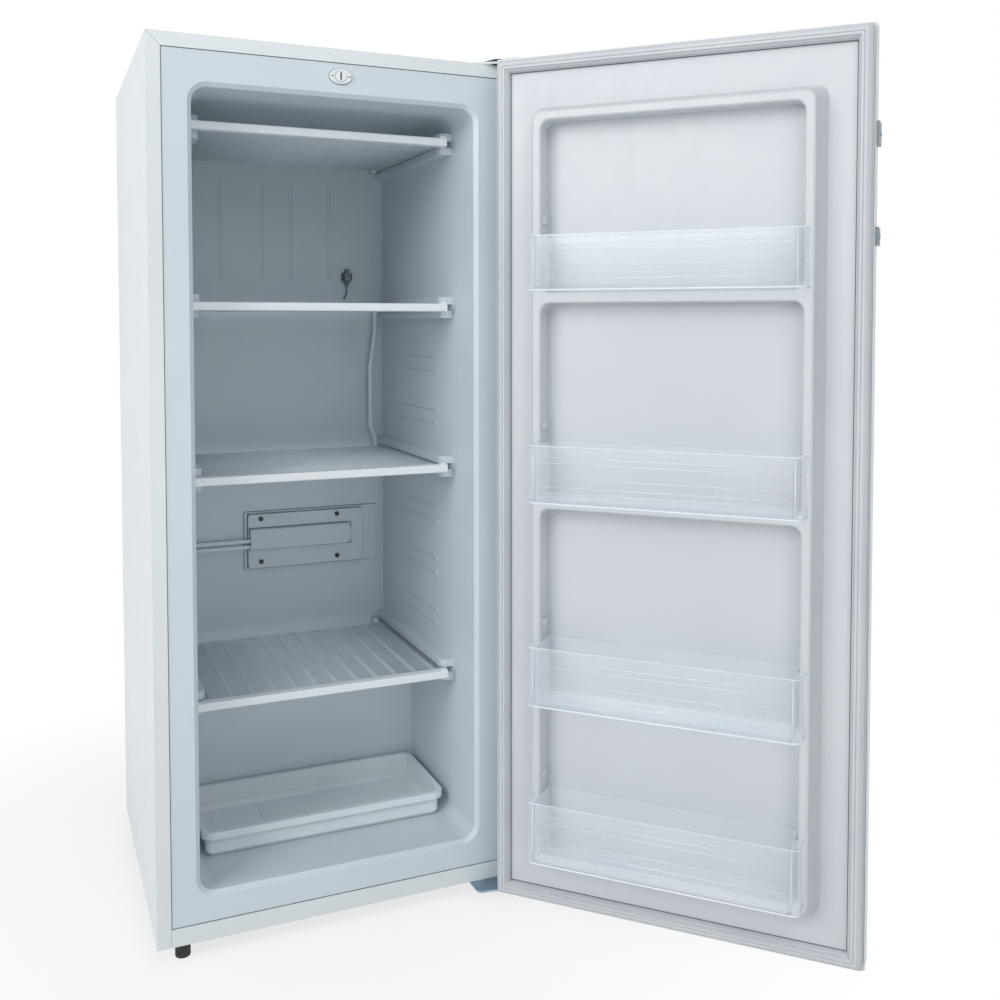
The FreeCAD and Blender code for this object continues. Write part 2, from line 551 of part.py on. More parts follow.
def evaporator_leads():
    """Two tubes from the joint cover to the left ends of shelves 3 and 4."""
    start, out, x = SHELF_BACK_Y, SHELF_BACK_Y + LEAD_DEPTH, -COIL_HALF
    leads = []
    for z, height in zip(LEAD_HEIGHTS, SHELF_HEIGHTS[2:]):
        sign = 1 if height > z else -1
        leads.append(tube([(COVER_LEFT + 8, out, z), (x + 10, out, z), (x, out, z + 10 * sign),
                           (x, out, height - 10 * sign), (x, out - 8, height), (x, start, height)], TUBE))
    return group(leads)


# ---------------------------------------------------------------- fittings on the back wall
def joint_screws():
    return [screw((x, WALL_Y - COVER_DEPTH, z), V(0, -1, 0), 24.0) for x, z in COVER_SCREWS]


def joint_cover_plate():
    plate = box(COVER_LEFT - 6, PLATE_RIGHT, WALL_Y - PLATE_DEPTH, WALL_Y, COVER_LOW - 3, COVER_HIGH + 4)
    return plate.cut(joint_screws())


def joint_cover():
    """Hollow cover with a raised channel where the tubes run."""
    wall, face = COVER_WALL, WALL_Y - CHANNEL_DEPTH
    left = COVER_LEFT + 2
    shell = chamfered_box(COVER_LEFT, COVER_RIGHT, WALL_Y - COVER_DEPTH, WALL_Y - PLATE_DEPTH,
                          COVER_LOW, COVER_HIGH, 3.0)
    inside = box(COVER_LEFT + wall, COVER_RIGHT - wall, WALL_Y - COVER_DEPTH + wall, WALL_Y,
                 COVER_LOW + wall, COVER_HIGH - wall)
    channel = box(left, CHANNEL_RIGHT, face, WALL_Y - COVER_DEPTH + 1, CHANNEL_LOW, CHANNEL_HIGH)
    channel = channel.makeFillet(12.0, straight_edges(channel, Y_AXIS, lambda c: c.x > 0))
    channel = channel.makeChamfer(2.0, [e for e in channel.Edges if abs(e.CenterOfMass.y - face) < SMALL])
    hollow = box(left + 2, CHANNEL_RIGHT - 12, face + wall, WALL_Y - COVER_DEPTH + 2, CHANNEL_LOW + 2,
                 CHANNEL_HIGH - 2)
    pillars = [box(x - 4, x + 4, WALL_Y - COVER_DEPTH, WALL_Y - PLATE_DEPTH, z - 4, z + 4)
               for x, z in COVER_SCREWS]
    notch = box(COVER_LEFT - 1, left + 3, face + wall, WALL_Y - 9, LEAD_HEIGHTS[1] - 4, LEAD_HEIGHTS[0] + 4)
    body = fuse([shell, channel]).cut([inside, hollow])
    return fuse([body] + pillars).cut([notch] + joint_screws())


def thermostat_bulb():
    """Sensing bulb with the capillary that goes into the wall under it."""
    x, y, z = BULB_X, WALL_Y - 7, BULB_Z
    lead = tube([(x, y, z + 1), (x, y, z - 14), (x - 4, y, z - 24), (x - 4, WALL_Y + 8, z - 30)], 2.4)
    return fuse([rod(BULB_RADIUS, (x, y, z), 30), lead])


def bulb_clip():
    """Saddle that holds the bulb to the back wall."""
    z = BULB_Z + 8
    saddle = box(BULB_X - 9, BULB_X + 9, WALL_Y - 13.5, WALL_Y, z, z + 14)
    saddle = saddle.makeChamfer(3.5, straight_edges(saddle, Z_AXIS, lambda c: c.y < WALL_Y - 1))
    return saddle.cut(rod(BULB_RADIUS, (BULB_X, WALL_Y - 7, z - 5), 30))


# ---------------------------------------------------------------- thermostat
def thermostat_bezel():
    half, radius, sides = BEZEL_LENGTH / 2, BEZEL_HEIGHT / 2, 24
    front = RIM - BEZEL_DEPTH
    centres = (half - radius, radius - half)
    outline = []
    for x, z in ring((0, 0), [radius], sides):
        outline.append((x + centres[0] if x > 0 else x + centres[1], front, DIAL_Z + z))
    return extrude(outline, V(0, BEZEL_DEPTH, 0)).cut(
        bore(DIAL_RADIUS + 0.3, (0, front - 1, DIAL_Z), BEZEL_DEPTH + 2, Y_AXIS, sides))


def thermostat_dial():
    """Flat dial with a slot for a coin, on the control's shaft."""
    knob = rod(DIAL_RADIUS, (0, RIM - 4.2, DIAL_Z), 4, Y_AXIS, 24)
    shaft = rod(SHAFT_RADIUS, (0, RIM - 1, DIAL_Z), SKIN + 13, Y_AXIS)
    slot = box(-1.3, 1.3, RIM - 5, RIM - 2.2, DIAL_Z - 6.5, DIAL_Z + 6.5)
    return fuse([knob, shaft]).cut(slot)


def thermostat_body():
    y = RIM + SKIN
    body = box(-THERMO_HALF, THERMO_HALF, y, y + THERMO_DEPTH, DIAL_Z - THERMO_HALF, DIAL_Z + THERMO_HALF)
    return body.cut(bore(SHAFT_RADIUS + FIT, (0, y - 1, DIAL_Z), 15, Y_AXIS))


# ---------------------------------------------------------------- cooling circuit outside the foam
def compressor():
    """Two welded pans with a rim between them, on a mounting plate."""
    r, sides = COMPRESSOR_RADIUS, 20
    foot, seam, top = BASE_Z + COMPRESSOR_RISE, COMPRESSOR_SEAM, COMPRESSOR_HEIGHT
    rim = r + SEAM_WIDTH
    profile = [(r - 20, 0), (r - 4, 8), (r, 20), (r, seam), (rim, seam), (rim, seam + SEAM_HEIGHT),
               (r, seam + SEAM_HEIGHT), (r, top - 29), (r - 7, top - 10), (r - 30, top)]
    rings = [[V(x, y, foot + height) for x, y in ring((COMPRESSOR_X, COMPRESSOR_Y), [radius], sides)]
             for radius, height in profile]
    dx, dy = COMPRESSOR_FOOT_X + 14, COMPRESSOR_FOOT_Y + 14
    plate = box(COMPRESSOR_X - dx, COMPRESSOR_X + dx, COMPRESSOR_Y - dy, COMPRESSOR_Y + dy, foot - 3, foot)
    plate = plate.makeChamfer(FOOT_CORNER, straight_edges(plate, Z_AXIS))
    x, y = COMPRESSOR_X - r, COMPRESSOR_Y - 30
    stub = tube([(x + 8, y, foot + 114), (x - 22, y, foot + 114), (x - 30, y, foot + 122),
                 (x - 30, y, foot + 144)], 6.0)
    waist = GROMMET_RADIUS - GROMMET_GROOVE
    holes = [plan_prism(ring(place, [waist], 8), foot - 5, foot + 5) for place in COMPRESSOR_FEET]
    return fuse([polyhedron(rings, closed=False), plate, stub]).cut(holes)


def compressor_grommets():
    """Rubber spools that carry the compressor's feet."""
    low, plate = BASE_Z + BASE_SHEET, BASE_Z + COMPRESSOR_RISE - 3
    spools = []
    for place in COMPRESSOR_FEET:
        levels = ((GROMMET_RADIUS, low, plate), (GROMMET_RADIUS - GROMMET_GROOVE, plate - 1, plate + 4),
                  (GROMMET_RADIUS, plate + 3, plate + 5))
        spool = fuse([plan_prism(ring(place, [radius], 8), z0, z1) for radius, z0, z1 in levels])
        spools.append(spool.cut(plan_prism(ring(place, [GROMMET_BORE], 6), 0, plate + 20)))
    return group(spools)


def compressor_bolts():
    top = BASE_Z + COMPRESSOR_RISE + 2
    return group([fuse([plan_prism(ring(place, [5.8], 6), top, top + 4),
                        plan_prism(ring(place, [BOLT_RADIUS], 6), BASE_Z - 2, top + 1)])
                  for place in COMPRESSOR_FEET])


def relay_box():
    """Starter on the compressor's side, with the gland of the mains lead."""
    x, y, z = COMPRESSOR_X + COMPRESSOR_RADIUS + 0.3, COMPRESSOR_Y, BASE_Z + 37
    case = chamfered_box(x, x + 28, y - 22, y + 22, z, z + 37, 4.0, X_AXIS)
    return fuse([case, rod(6.0, (x + 16, y + 20, z + 12), 12, Y_AXIS)])


def filter_drier():
    x = COMPRESSOR_X + 30
    neck, taper, sides = 3.2, 8.0, 12
    profile = ((neck, x - taper), (DRIER_RADIUS, x), (DRIER_RADIUS, x + DRIER_LENGTH),
               (neck, x + DRIER_LENGTH + taper))
    return polyhedron([[V(px, y, z) for y, z in ring((DRIER_Y, DRIER_Z), [radius], sides)]
                       for radius, px in profile], closed=False)


def refrigerant_lines():
    """Discharge, liquid, capillary and suction tubes in the niche; the last two end in the foam."""
    y, far, z = COMPRESSOR_Y, CONDENSER_Y, BASE_Z + 107
    left, right = COMPRESSOR_X - COMPRESSOR_RADIUS, COMPRESSOR_X + COMPRESSOR_RADIUS
    inlet, outlet = COMPRESSOR_X + 22, COMPRESSOR_X + 38 + DRIER_LENGTH
    discharge = [(left - 0.2, y, z), (left - 26, y, z), (left - 40, y + 14, z), (left - 40, far - 14, z),
                 (left - 54, far, z), (12 - CONDENSER_X, far, z), (-CONDENSER_X, far, z + 12),
                 (-CONDENSER_X, far, CONDENSER_LOW)]
    liquid = [(CONDENSER_X, far, CONDENSER_LOW), (CONDENSER_X, far, DRIER_Z + 12),
              (CONDENSER_X - 12, far, DRIER_Z), (outlet + 32, far, DRIER_Z), (outlet + 20, DRIER_Y, DRIER_Z),
              (outlet, DRIER_Y, DRIER_Z)]
    capillary = [(inlet, DRIER_Y, DRIER_Z), (inlet - 42, DRIER_Y, DRIER_Z),
                 (inlet - 50, DRIER_Y, DRIER_Z + 8), (inlet - 50, DRIER_Y, NICHE_BACK + 15)]
    loop, rise = right + 36, BASE_Z + 117
    suction = [(right + 0.2, y, rise), (right + 26, y, rise), (loop, y + 10, rise), (loop, y + 22, rise),
               (loop, y + 32, rise + 10), (loop, y + 32, NICHE_BACK + 15)]
    return [tube(discharge, 6.0), tube(liquid, 6.0), tube(capillary, 2.6), tube(suction, 7.0)]


def condenser_tube():
    """Serpentine inside the foam against both side panels, crossing over above the liner."""
    low, high = NICHE_BACK + 22, TOP_Z - CONDENSER_DROP
    side = []
    for i in range(CONDENSER_PASSES):
        y = CONDENSER_Y - CONDENSER_PITCH * i
        ends = [(-CONDENSER_X, y, low), (-CONDENSER_X, y, high)]
        side += ends if i % 2 == 0 else ends[::-1]
    side[0] = (-CONDENSER_X, CONDENSER_Y, CONDENSER_LOW)
    side[-1] = (-CONDENSER_X, side[-1][1], TOP_Z - CONDENSER_CROSSING)
    return tube(side + [(-x, y, z) for x, y, z in reversed(side)], CONDENSER_WIDTH, 4)


def compressor_base():
    """Pressed tray across the niche, with ears that hold the rollers' axles."""
    half, sheet = HALF - SHEET, BASE_SHEET
    front, rear = NICHE_Y + 3, BACK - 4
    y, gap = ROLLER_Y, ROLLER_WIDTH / 2 + EAR_GAP
    tray = [box(-half, half, front, rear, BASE_Z, BASE_Z + sheet)]
    tray += both_sides(box(half - sheet, half, front, rear, BASE_Z, BASE_Z + 22))
    tray += [box(-half, half, edge, edge + sheet, BASE_Z, BASE_Z + 10) for edge in (front, rear - sheet)]
    low = ROLLER_RADIUS - 6
    ear = [(y - 12, BASE_Z + 1), (y + 12, BASE_Z + 1), (y + 6, low), (y - 6, low)]
    for x in (ROLLER_X - gap - sheet, ROLLER_X + gap):
        tray += both_sides(side_prism(ear, x, x + sheet))
    windows = both_sides(box(ROLLER_X - gap, ROLLER_X + gap, y - 15, y + 15, BASE_Z - 3, BASE_Z + sheet + 2))
    holes = [plan_prism(ring(place, [BOLT_RADIUS + 0.1], 6), 0, BASE_Z + 5) for place in COMPRESSOR_FEET]
    return fuse(tray).cut(windows + holes + both_sides(axle()))


# ---------------------------------------------------------------- feet and rollers
def axle():
    length = ROLLER_WIDTH + AXLE_EXTRA
    return rod(AXLE_RADIUS, (ROLLER_X - length / 2, ROLLER_Y, ROLLER_RADIUS), length, X_AXIS)


def rear_roller():
    start = (ROLLER_X - ROLLER_WIDTH / 2, ROLLER_Y, ROLLER_RADIUS)
    wheel = rod(ROLLER_RADIUS, start, ROLLER_WIDTH, X_AXIS, 32)
    return wheel.cut(bore(AXLE_RADIUS + FIT, start, ROLLER_WIDTH, X_AXIS))


def levelling_foot():
    """Foot with a fluted grip and a stud."""
    place = (FOOT_X, FOOT_Y)
    grip = plan_prism(ring(place, [FOOT_RADIUS, FOOT_RADIUS - FOOT_FLUTE], FOOT_SIDES), 0, FOOT_TOP)
    return fuse([grip, rod(STUD_RADIUS, (*place, FOOT_TOP - 1), STUD_TOP - FOOT_TOP + 1)])


def foot_nut():
    """Nut welded on the bottom plate."""
    low = BASE_Z + SHEET
    nut = plan_prism(ring((FOOT_X, FOOT_Y), [NUT_RADIUS], 6), low, low + NUT_HEIGHT)
    return nut.cut(bore(STUD_RADIUS + FIT, (FOOT_X, FOOT_Y, 0), STUD_TOP))


# ---------------------------------------------------------------- hinges
def bracket_plan(reach):
    """Outline of a hinge bracket: wide under its screws, narrow and round at the pin."""
    inner, outer, back, neck = HALF - reach, HALF - 3, FRONT + 48, FRONT - 14
    points = [(inner, back), (inner, FRONT + 6), (PIN_X - BRACKET_TIP, neck)]
    steps = 6
    for i in range(steps + 1):
        turn = math.pi + math.pi * i / steps
        points.append((PIN_X + BRACKET_TIP * math.cos(turn), PIN_Y + BRACKET_TIP * math.sin(turn)))
    return points + [(PIN_X + BRACKET_TIP, neck), (outer, FRONT + 6), (outer, back)]


def lower_hinge_bracket():
    low = BASE_Z - BRACKET
    plate = plan_prism(bracket_plan(LOWER_BRACKET), low, BASE_Z)
    pin = cylinder(PIN_RADIUS, (PIN_X, PIN_Y, low), PIN_LENGTH)
    stud_hole = bore(STUD_RADIUS + 0.6, (FOOT_X, FOOT_Y, 0), BASE_Z + 5, sides=8)
    return fuse([plate, pin]).cut([stud_hole] + lower_hinge_screws())


def lower_hinge_screws():
    return [screw((HALF - x, FRONT + y, BASE_Z - BRACKET), V(0, 0, -1), 18.0)
            for x, y in ((62.0, 17.0), (62.0, 38.0), (11.0, 38.0))]


def upper_hinge_bracket():
    high = TOP_Z + BRACKET
    plate = plan_prism(bracket_plan(UPPER_BRACKET), TOP_Z, high)
    pin = cylinder(PIN_RADIUS, (PIN_X, PIN_Y, high - PIN_LENGTH), PIN_LENGTH)
    return fuse([plate, pin]).cut(upper_hinge_screws())


def upper_hinge_screws():
    return [screw((HALF - x, FRONT + y, TOP_Z + BRACKET), Z_AXIS, 18.0)
            for x, y in ((51.0, 16.0), (51.0, 38.0), (15.0, 30.0))]


def hinge_cover():
    """Hollow plastic cap over the upper hinge."""
    left, right, rear, tip = HALF - UPPER_BRACKET - 3.5, HALF - 0.5, FRONT + 54, PIN_Y - BRACKET_TIP - 4
    high, wall, nose = TOP_Z + HINGE_COVER_HEIGHT, HINGE_COVER_WALL, left + 26
    cap = plan_prism([(left, rear), (left, FRONT), (nose, tip), (right, tip), (right, rear)], TOP_Z, high)
    cap = cap.makeChamfer(5.0, straight_edges(cap, Z_AXIS))
    cap = cap.makeChamfer(2.5, [e for e in cap.Edges if abs(e.CenterOfMass.z - high) < SMALL])
    inner = [(left + wall, rear - wall), (left + wall, FRONT), (nose + wall, tip + wall),
             (right - wall, tip + wall), (right - wall, rear - wall)]
    return cap.cut(plan_prism(inner, TOP_Z - 1, high - wall))


# ---------------------------------------------------------------- door, built shut
def door_outer_panel():
    low, high = DOOR_BOTTOM + CAP_HEIGHT, DOOR_TOP - CAP_HEIGHT
    panel = box(-HALF, HALF, DOOR_Y, DOOR_REAR, low, high)
    panel = panel.makeFillet(PANEL_RADIUS, straight_edges(panel, Z_AXIS, lambda c: c.y < DOOR_Y + 1))
    inner = box(-HALF + SHEET, HALF - SHEET, DOOR_Y + SHEET, DOOR_REAR + 1, low - 1, high + 1)
    corners = straight_edges(inner, Z_AXIS, lambda c: c.y < DOOR_Y + SHEET + 1)
    inner = inner.makeFillet(PANEL_RADIUS - SHEET, corners)
    return opened(panel.cut([inner] + handle_fixings()))


def door_core(grow):
    """The door's inside: foam with bevelled corners when it grows by nothing, foam and liner with
    rounded ones when it grows by a skin."""
    crest, half = FRONT + DYKE_CREST - SKIN + grow, DYKE_HALF - SKIN + grow
    low, high = DYKE_BOTTOM + SKIN - grow, DYKE_TOP - SKIN + grow
    ends, thin, side = 2.0, SKIN - grow, HALF - SHEET
    slab = box(-side, side, DOOR_Y + SHEET, DOOR_REAR - thin, DOOR_BOTTOM + ends, DOOR_TOP - ends)
    dyke = Part.makeWedge(-half - DYKE_DRAFT, DOOR_REAR - SKIN - 1, low - DYKE_DRAFT, low, -half,
                          half + DYKE_DRAFT, crest, high + DYKE_DRAFT, high, half)
    corners = [e for e in dyke.Edges if e.BoundBox.YLength > 10]
    bevel = 0.62 * DYKE_RADIUS
    dyke = dyke.makeFillet(DYKE_RADIUS + grow, corners) if grow else dyke.makeChamfer(bevel, corners)
    bounds = [DYKE_BOTTOM + DYKE_BAND] + [z for ledge in LEDGES for z in ledge] + [DYKE_TOP - DYKE_BAND]
    reach = POCKET_HALF + thin
    pocket, corner = (rounded_box, DYKE_RADIUS) if grow else (chamfered_box, bevel)
    pockets = [pocket(-reach, reach, FRONT - POCKET_FLOOR - thin, crest + 5, z0 - thin, z1 + thin, corner)
               for z0, z1 in zip(bounds[::2], bounds[1::2])]
    return fuse([slab, dyke]).cut(pockets)


def door_liner():
    half, crest = HALF - SHEET - 0.5, FRONT + DYKE_CREST
    visible = door_core(SKIN)
    rims = [e for e in visible.Edges if abs(e.CenterOfMass.y - crest) < SMALL]
    visible = visible.makeChamfer(DYKE_CHAMFER, rims)
    keep = box(-half, half, DOOR_REAR - SKIN, crest + 1, DOOR_BOTTOM + 1, DOOR_TOP - 1)
    lugs = []
    for _, high in BINS:
        low = high + LUG_RISE
        lugs += both_sides(box(POCKET_HALF - LUG_REACH, POCKET_HALF + SKIN / 2, FRONT + 2, FRONT + 16,
                               low, low + LUG_SIZE))
    return opened(fuse([visible.cut(door_core(0.0)).common(keep)] + lugs))


def door_foam():
    half = HALF - SHEET
    caps = [box(-half, half, DOOR_Y, DOOR_REAR - SKIN, low, low + CAP_HEIGHT)
            for low in (DOOR_BOTTOM, DOOR_TOP - CAP_HEIGHT)]
    edges = both_sides(box(half - 1, half + 1, DOOR_Y, DOOR_REAR, 0, TOP_Z))
    front = box(-HALF, HALF, DOOR_Y, DOOR_Y + SHEET + 0.5, 0, TOP_Z)
    return opened(door_core(0.0).cut(caps + edges + [front] + handle_fixings()))


def door_end_caps():
    """The same plastic cap at the door's top and bottom."""
    caps = []
    for low in (DOOR_BOTTOM, DOOR_TOP - CAP_HEIGHT):
        cap = box(-HALF, HALF, DOOR_Y, DOOR_REAR - SKIN, low, low + CAP_HEIGHT)
        cap = cap.makeFillet(PANEL_RADIUS, straight_edges(cap, Z_AXIS, lambda c: c.y < DOOR_Y + 1))
        caps.append(cap.cut(rod(BUSH_RADIUS, (PIN_X, PIN_Y, low - 1), CAP_HEIGHT + 2)))
    return opened(group(caps))


def hinge_bushes():
    """Plastic bushes in the door's end caps, with flanges that space the door from the brackets."""
    hole = bore(PIN_RADIUS + FIT, (PIN_X, PIN_Y, 0), TOP_Z + 10)
    bushes = []
    for low, flange_low, flange_high in ((DOOR_BOTTOM, BASE_Z + BUSH_GAP, DOOR_BOTTOM),
                                         (DOOR_TOP - CAP_HEIGHT, DOOR_TOP, TOP_Z - BUSH_GAP)):
        bush = fuse([rod(BUSH_RADIUS, (PIN_X, PIN_Y, low), CAP_HEIGHT),
                     rod(BUSH_FLANGE, (PIN_X, PIN_Y, flange_low), flange_high - flange_low)])
        bushes.append(bush.cut(hole))
    return opened(group(bushes))


def door_gasket():
    """Magnetic seal: one ribbed section round the door, mitred at the corners."""
    w = GASKET_WIDTH
    section = [(0, 0), (0, 8.5), (3.5, 11.8), (6, 13.5), (w - 9.8, 13.5), (w - 9, 12.2), (w - 8.2, 13.5),
               (w - 5, 13.5), (w - 3.6, 10.2), (w - 2.4, 11.0), (w - 0.8, 8.0), (w, 0)]
    x0, x1 = -HALF + GASKET_INSET, HALF - GASKET_INSET
    z0, z1 = DOOR_BOTTOM + GASKET_INSET, DOOR_TOP - GASKET_INSET
    corners = ((x0, z0, 1, 1), (x1, z0, -1, 1), (x1, z1, -1, -1), (x0, z1, 1, -1))
    rings = [[V(x + dx * u, DOOR_REAR + v, z + dz * u) for u, v in section] for x, z, dx, dz in corners]
    return opened(polyhedron(rings, closed=True))


def door_handle():
    """Pull handle: a grip in front of the door and two feet that lap round the free edge."""
    x, half_width, lap = -HALF + HANDLE_INBOARD, GRIP_WIDTH / 2, HANDLE_LAP
    back, top = DOOR_Y - HANDLE_STAND, DOOR_TOP - HANDLE_DROP
    pieces = [rounded_box(x - half_width, x + half_width, back - GRIP_DEPTH, back, top - HANDLE_LENGTH, top,
                          5.0, Z_AXIS)]
    for drop, half in HANDLE_FEET:
        low, high = top - drop - half, top - drop + half
        pieces.append(rounded_box(-HALF - lap, x + half_width + 4, DOOR_Y - lap, DOOR_Y, low, high, 3.0))
        pieces.append(box(-HALF - lap, -HALF, DOOR_Y - lap, DOOR_Y + 26, low, high))
        pieces.append(box(x - 8, x + 8, back - 1, DOOR_Y - 1, low + 3, high - 3))
    return opened(fuse(pieces).cut(handle_fixings()))


def handle_fixings():
    top = DOOR_TOP - HANDLE_DROP
    return [screw((-HALF - HANDLE_LAP, DOOR_Y + 15, top - drop), V(-1, 0, 0), 20.0, 4.0, 1.8)
            for drop, _ in HANDLE_FEET]


def door_bin(low, high):
    """Clear open-topped bin, round at its front corners, with a lip and rows of ribs across its front."""
    rear, front = FRONT - POCKET_FLOOR + BIN_SEAT, FRONT + BIN_FRONT
    half, wall, corner = BIN_HALF, BIN_WALL, BIN_RADIUS
    block = box(-half, half, rear, front, low, high)
    block = block.makeFillet(corner, straight_edges(block, Z_AXIS, lambda c: c.y > front - 1))
    block = block.makeChamfer(BIN_CHAMFER, [e for e in block.Edges if abs(e.CenterOfMass.z - low) < SMALL])
    inside = chamfered_box(wall - half, half - wall, rear + wall, front - wall, low + wall, high + 1,
                           corner / 2, Z_AXIS)
    floor = [e for e in inside.Edges if abs(e.CenterOfMass.z - low - wall) < SMALL]
    inside = inside.makeChamfer(BIN_CHAMFER - wall / 2, floor)
    straight = half - corner - 1
    ribs = [box(-straight, straight, front - 1, front + BIN_LIP, high - 4, high)]
    for share in (0.2, 0.3, 0.7, 0.8):
        z = low + (high - low) * share
        ribs.append(box(-straight, straight, front - 1, front + 1.2, z, z + 2))
    return opened(fuse([block] + ribs).cut(inside))


# ---------------------------------------------------------------- bottom tray
def bottom_tray():
    """Shallow loose tray with rounded corners, a deep lip turned outward and ribs on its floor."""
    y0, y1 = FRONT + TRAY_FRONT, TRAY_BACK_Y
    low = MOUTH_BOTTOM + TRAY_SEAT
    high, wall, edge = low + TRAY_HEIGHT, TRAY_WALL, TRAY_LIP
    half = TRAY_HALF - edge
    tub = rounded_box(-half, half, y0 + edge, y1 - edge, low, high, TRAY_CORNER - edge, Z_AXIS)
    tub = tub.makeChamfer(TRAY_CHAMFER, [e for e in tub.Edges if abs(e.CenterOfMass.z - low) < SMALL])
    lip = rounded_box(-TRAY_HALF, TRAY_HALF, y0, y1, high - TRAY_BAND, high, TRAY_CORNER, Z_AXIS)
    under = chamfered_box(wall - TRAY_HALF, TRAY_HALF - wall, y0 + wall, y1 - wall, high - TRAY_BAND - 1,
                          high - wall, TRAY_CORNER / 2, Z_AXIS)
    inside = chamfered_box(wall - half, half - wall, y0 + edge + wall, y1 - edge - wall, low + wall, high + 1,
                           (TRAY_CORNER - edge) / 2, Z_AXIS)
    floor = [e for e in inside.Edges if abs(e.CenterOfMass.z - low - wall) < SMALL]
    inside = inside.makeChamfer(TRAY_CHAMFER - wall / 2, floor)
    reach = TRAY_HALF - 35
    ribs = [box(x - 2, x + 2, y0 + 26, y1 - 26, low + wall - 1, low + wall + 1)
            for x in (-reach, -reach / 2, 0, reach / 2, reach)]
    return fuse([fuse([tub, lip.cut(under)]).cut(inside)] + ribs)


# ---------------------------------------------------------------- the nodes
def nodes():
    parts = {
        "outer_shell": outer_shell(),
        "back_panel": back_panel(),
        "foam_port_plugs": group(foam_ports()),
        "bottom_trim": bottom_trim(),
        "bottom_plate": bottom_plate(),
        "compressor_base": compressor_base(),
        "cabinet_foam": cabinet_foam(),
        "liner": liner(),
        "evaporator_links": evaporator_links(),
        "evaporator_leads": evaporator_leads(),
        "joint_cover_plate": joint_cover_plate(),
        "joint_cover": joint_cover(),
        "joint_cover_screws": group(joint_screws()),
        "thermostat_bulb": thermostat_bulb(),
        "bulb_clip": bulb_clip(),
        "thermostat_bezel": thermostat_bezel(),
        "thermostat_body": thermostat_body(),
        "thermostat_dial": thermostat_dial(),
        "compressor": compressor(),
        "compressor_grommets": compressor_grommets(),
        "compressor_bolts": compressor_bolts(),
        "relay_box": relay_box(),
        "filter_drier": filter_drier(),
        "refrigerant_lines": group(refrigerant_lines()),
        "condenser_tube": condenser_tube(),
        "lower_hinge_bracket": lower_hinge_bracket(),
        "upper_hinge_bracket": upper_hinge_bracket(),
        "hinge_screws": group(lower_hinge_screws() + upper_hinge_screws()),
        "hinge_cover": hinge_cover(),
        "levelling_foot_left": mirrored(levelling_foot()),
        "levelling_foot_right": levelling_foot(),
        "foot_nuts": group(both_sides(foot_nut())),
        "rear_roller_left": mirrored(rear_roller()),
        "rear_roller_right": rear_roller(),
        "roller_axles": group(both_sides(axle())),
        "door_outer_panel": door_outer_panel(),
        "door_foam": door_foam(),
        "door_liner": door_liner(),
        "door_gasket": door_gasket(),
        "door_end_caps": door_end_caps(),
        "hinge_bushes": hinge_bushes(),
        "door_handle": door_handle(),
        "handle_screws": opened(group(handle_fixings())),
        "bottom_tray": bottom_tray(),
    }
    for number, height in enumerate(SHELF_HEIGHTS, 1):
        parts[f"evaporator_tube_{number}"] = evaporator_tube(height)
        parts[f"evaporator_wires_{number}"] = evaporator_wires(height)
        parts[f"evaporator_trim_{number}"] = evaporator_trim(height)
    for number, (low, high) in enumerate(BINS, 1):
        parts[f"door_bin_{number}"] = door_bin(low, high)
    return parts


coil_gap = least_gap(coil_path(SHELF_HEIGHTS[0]), TUBE)
print(f"least gap between an evaporator tube's passes: {coil_gap:.1f} mm")
os.makedirs("parts", exist_ok=True)
for name, shape in nodes().items():
    shape.exportStep(f"parts/{name}.step")
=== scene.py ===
"""Looks of an upright freezer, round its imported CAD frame. Metres, +X right, +Y back, +Z up."""
import json
import math

import bmesh
import bpy
from mathutils import Matrix, Vector

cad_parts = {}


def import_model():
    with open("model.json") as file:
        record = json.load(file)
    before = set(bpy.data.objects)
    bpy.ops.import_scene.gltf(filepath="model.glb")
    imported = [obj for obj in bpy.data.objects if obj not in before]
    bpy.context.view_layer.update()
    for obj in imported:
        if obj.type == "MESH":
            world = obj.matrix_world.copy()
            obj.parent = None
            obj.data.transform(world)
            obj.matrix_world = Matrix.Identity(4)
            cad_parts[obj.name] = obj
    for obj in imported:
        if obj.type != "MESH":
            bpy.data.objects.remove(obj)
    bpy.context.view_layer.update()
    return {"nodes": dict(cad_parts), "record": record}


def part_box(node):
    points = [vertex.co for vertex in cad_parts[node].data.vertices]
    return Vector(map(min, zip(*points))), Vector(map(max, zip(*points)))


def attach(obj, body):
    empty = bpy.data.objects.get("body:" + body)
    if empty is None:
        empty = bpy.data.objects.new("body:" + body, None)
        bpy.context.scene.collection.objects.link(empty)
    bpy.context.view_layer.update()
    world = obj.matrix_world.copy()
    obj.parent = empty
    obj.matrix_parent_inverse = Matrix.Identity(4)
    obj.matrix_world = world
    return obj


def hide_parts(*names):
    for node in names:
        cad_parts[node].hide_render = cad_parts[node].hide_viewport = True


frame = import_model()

NODES = frame["nodes"]
SLOTS = {part["node"]: part["material_slot"] for part in frame["record"]["subparts"]}

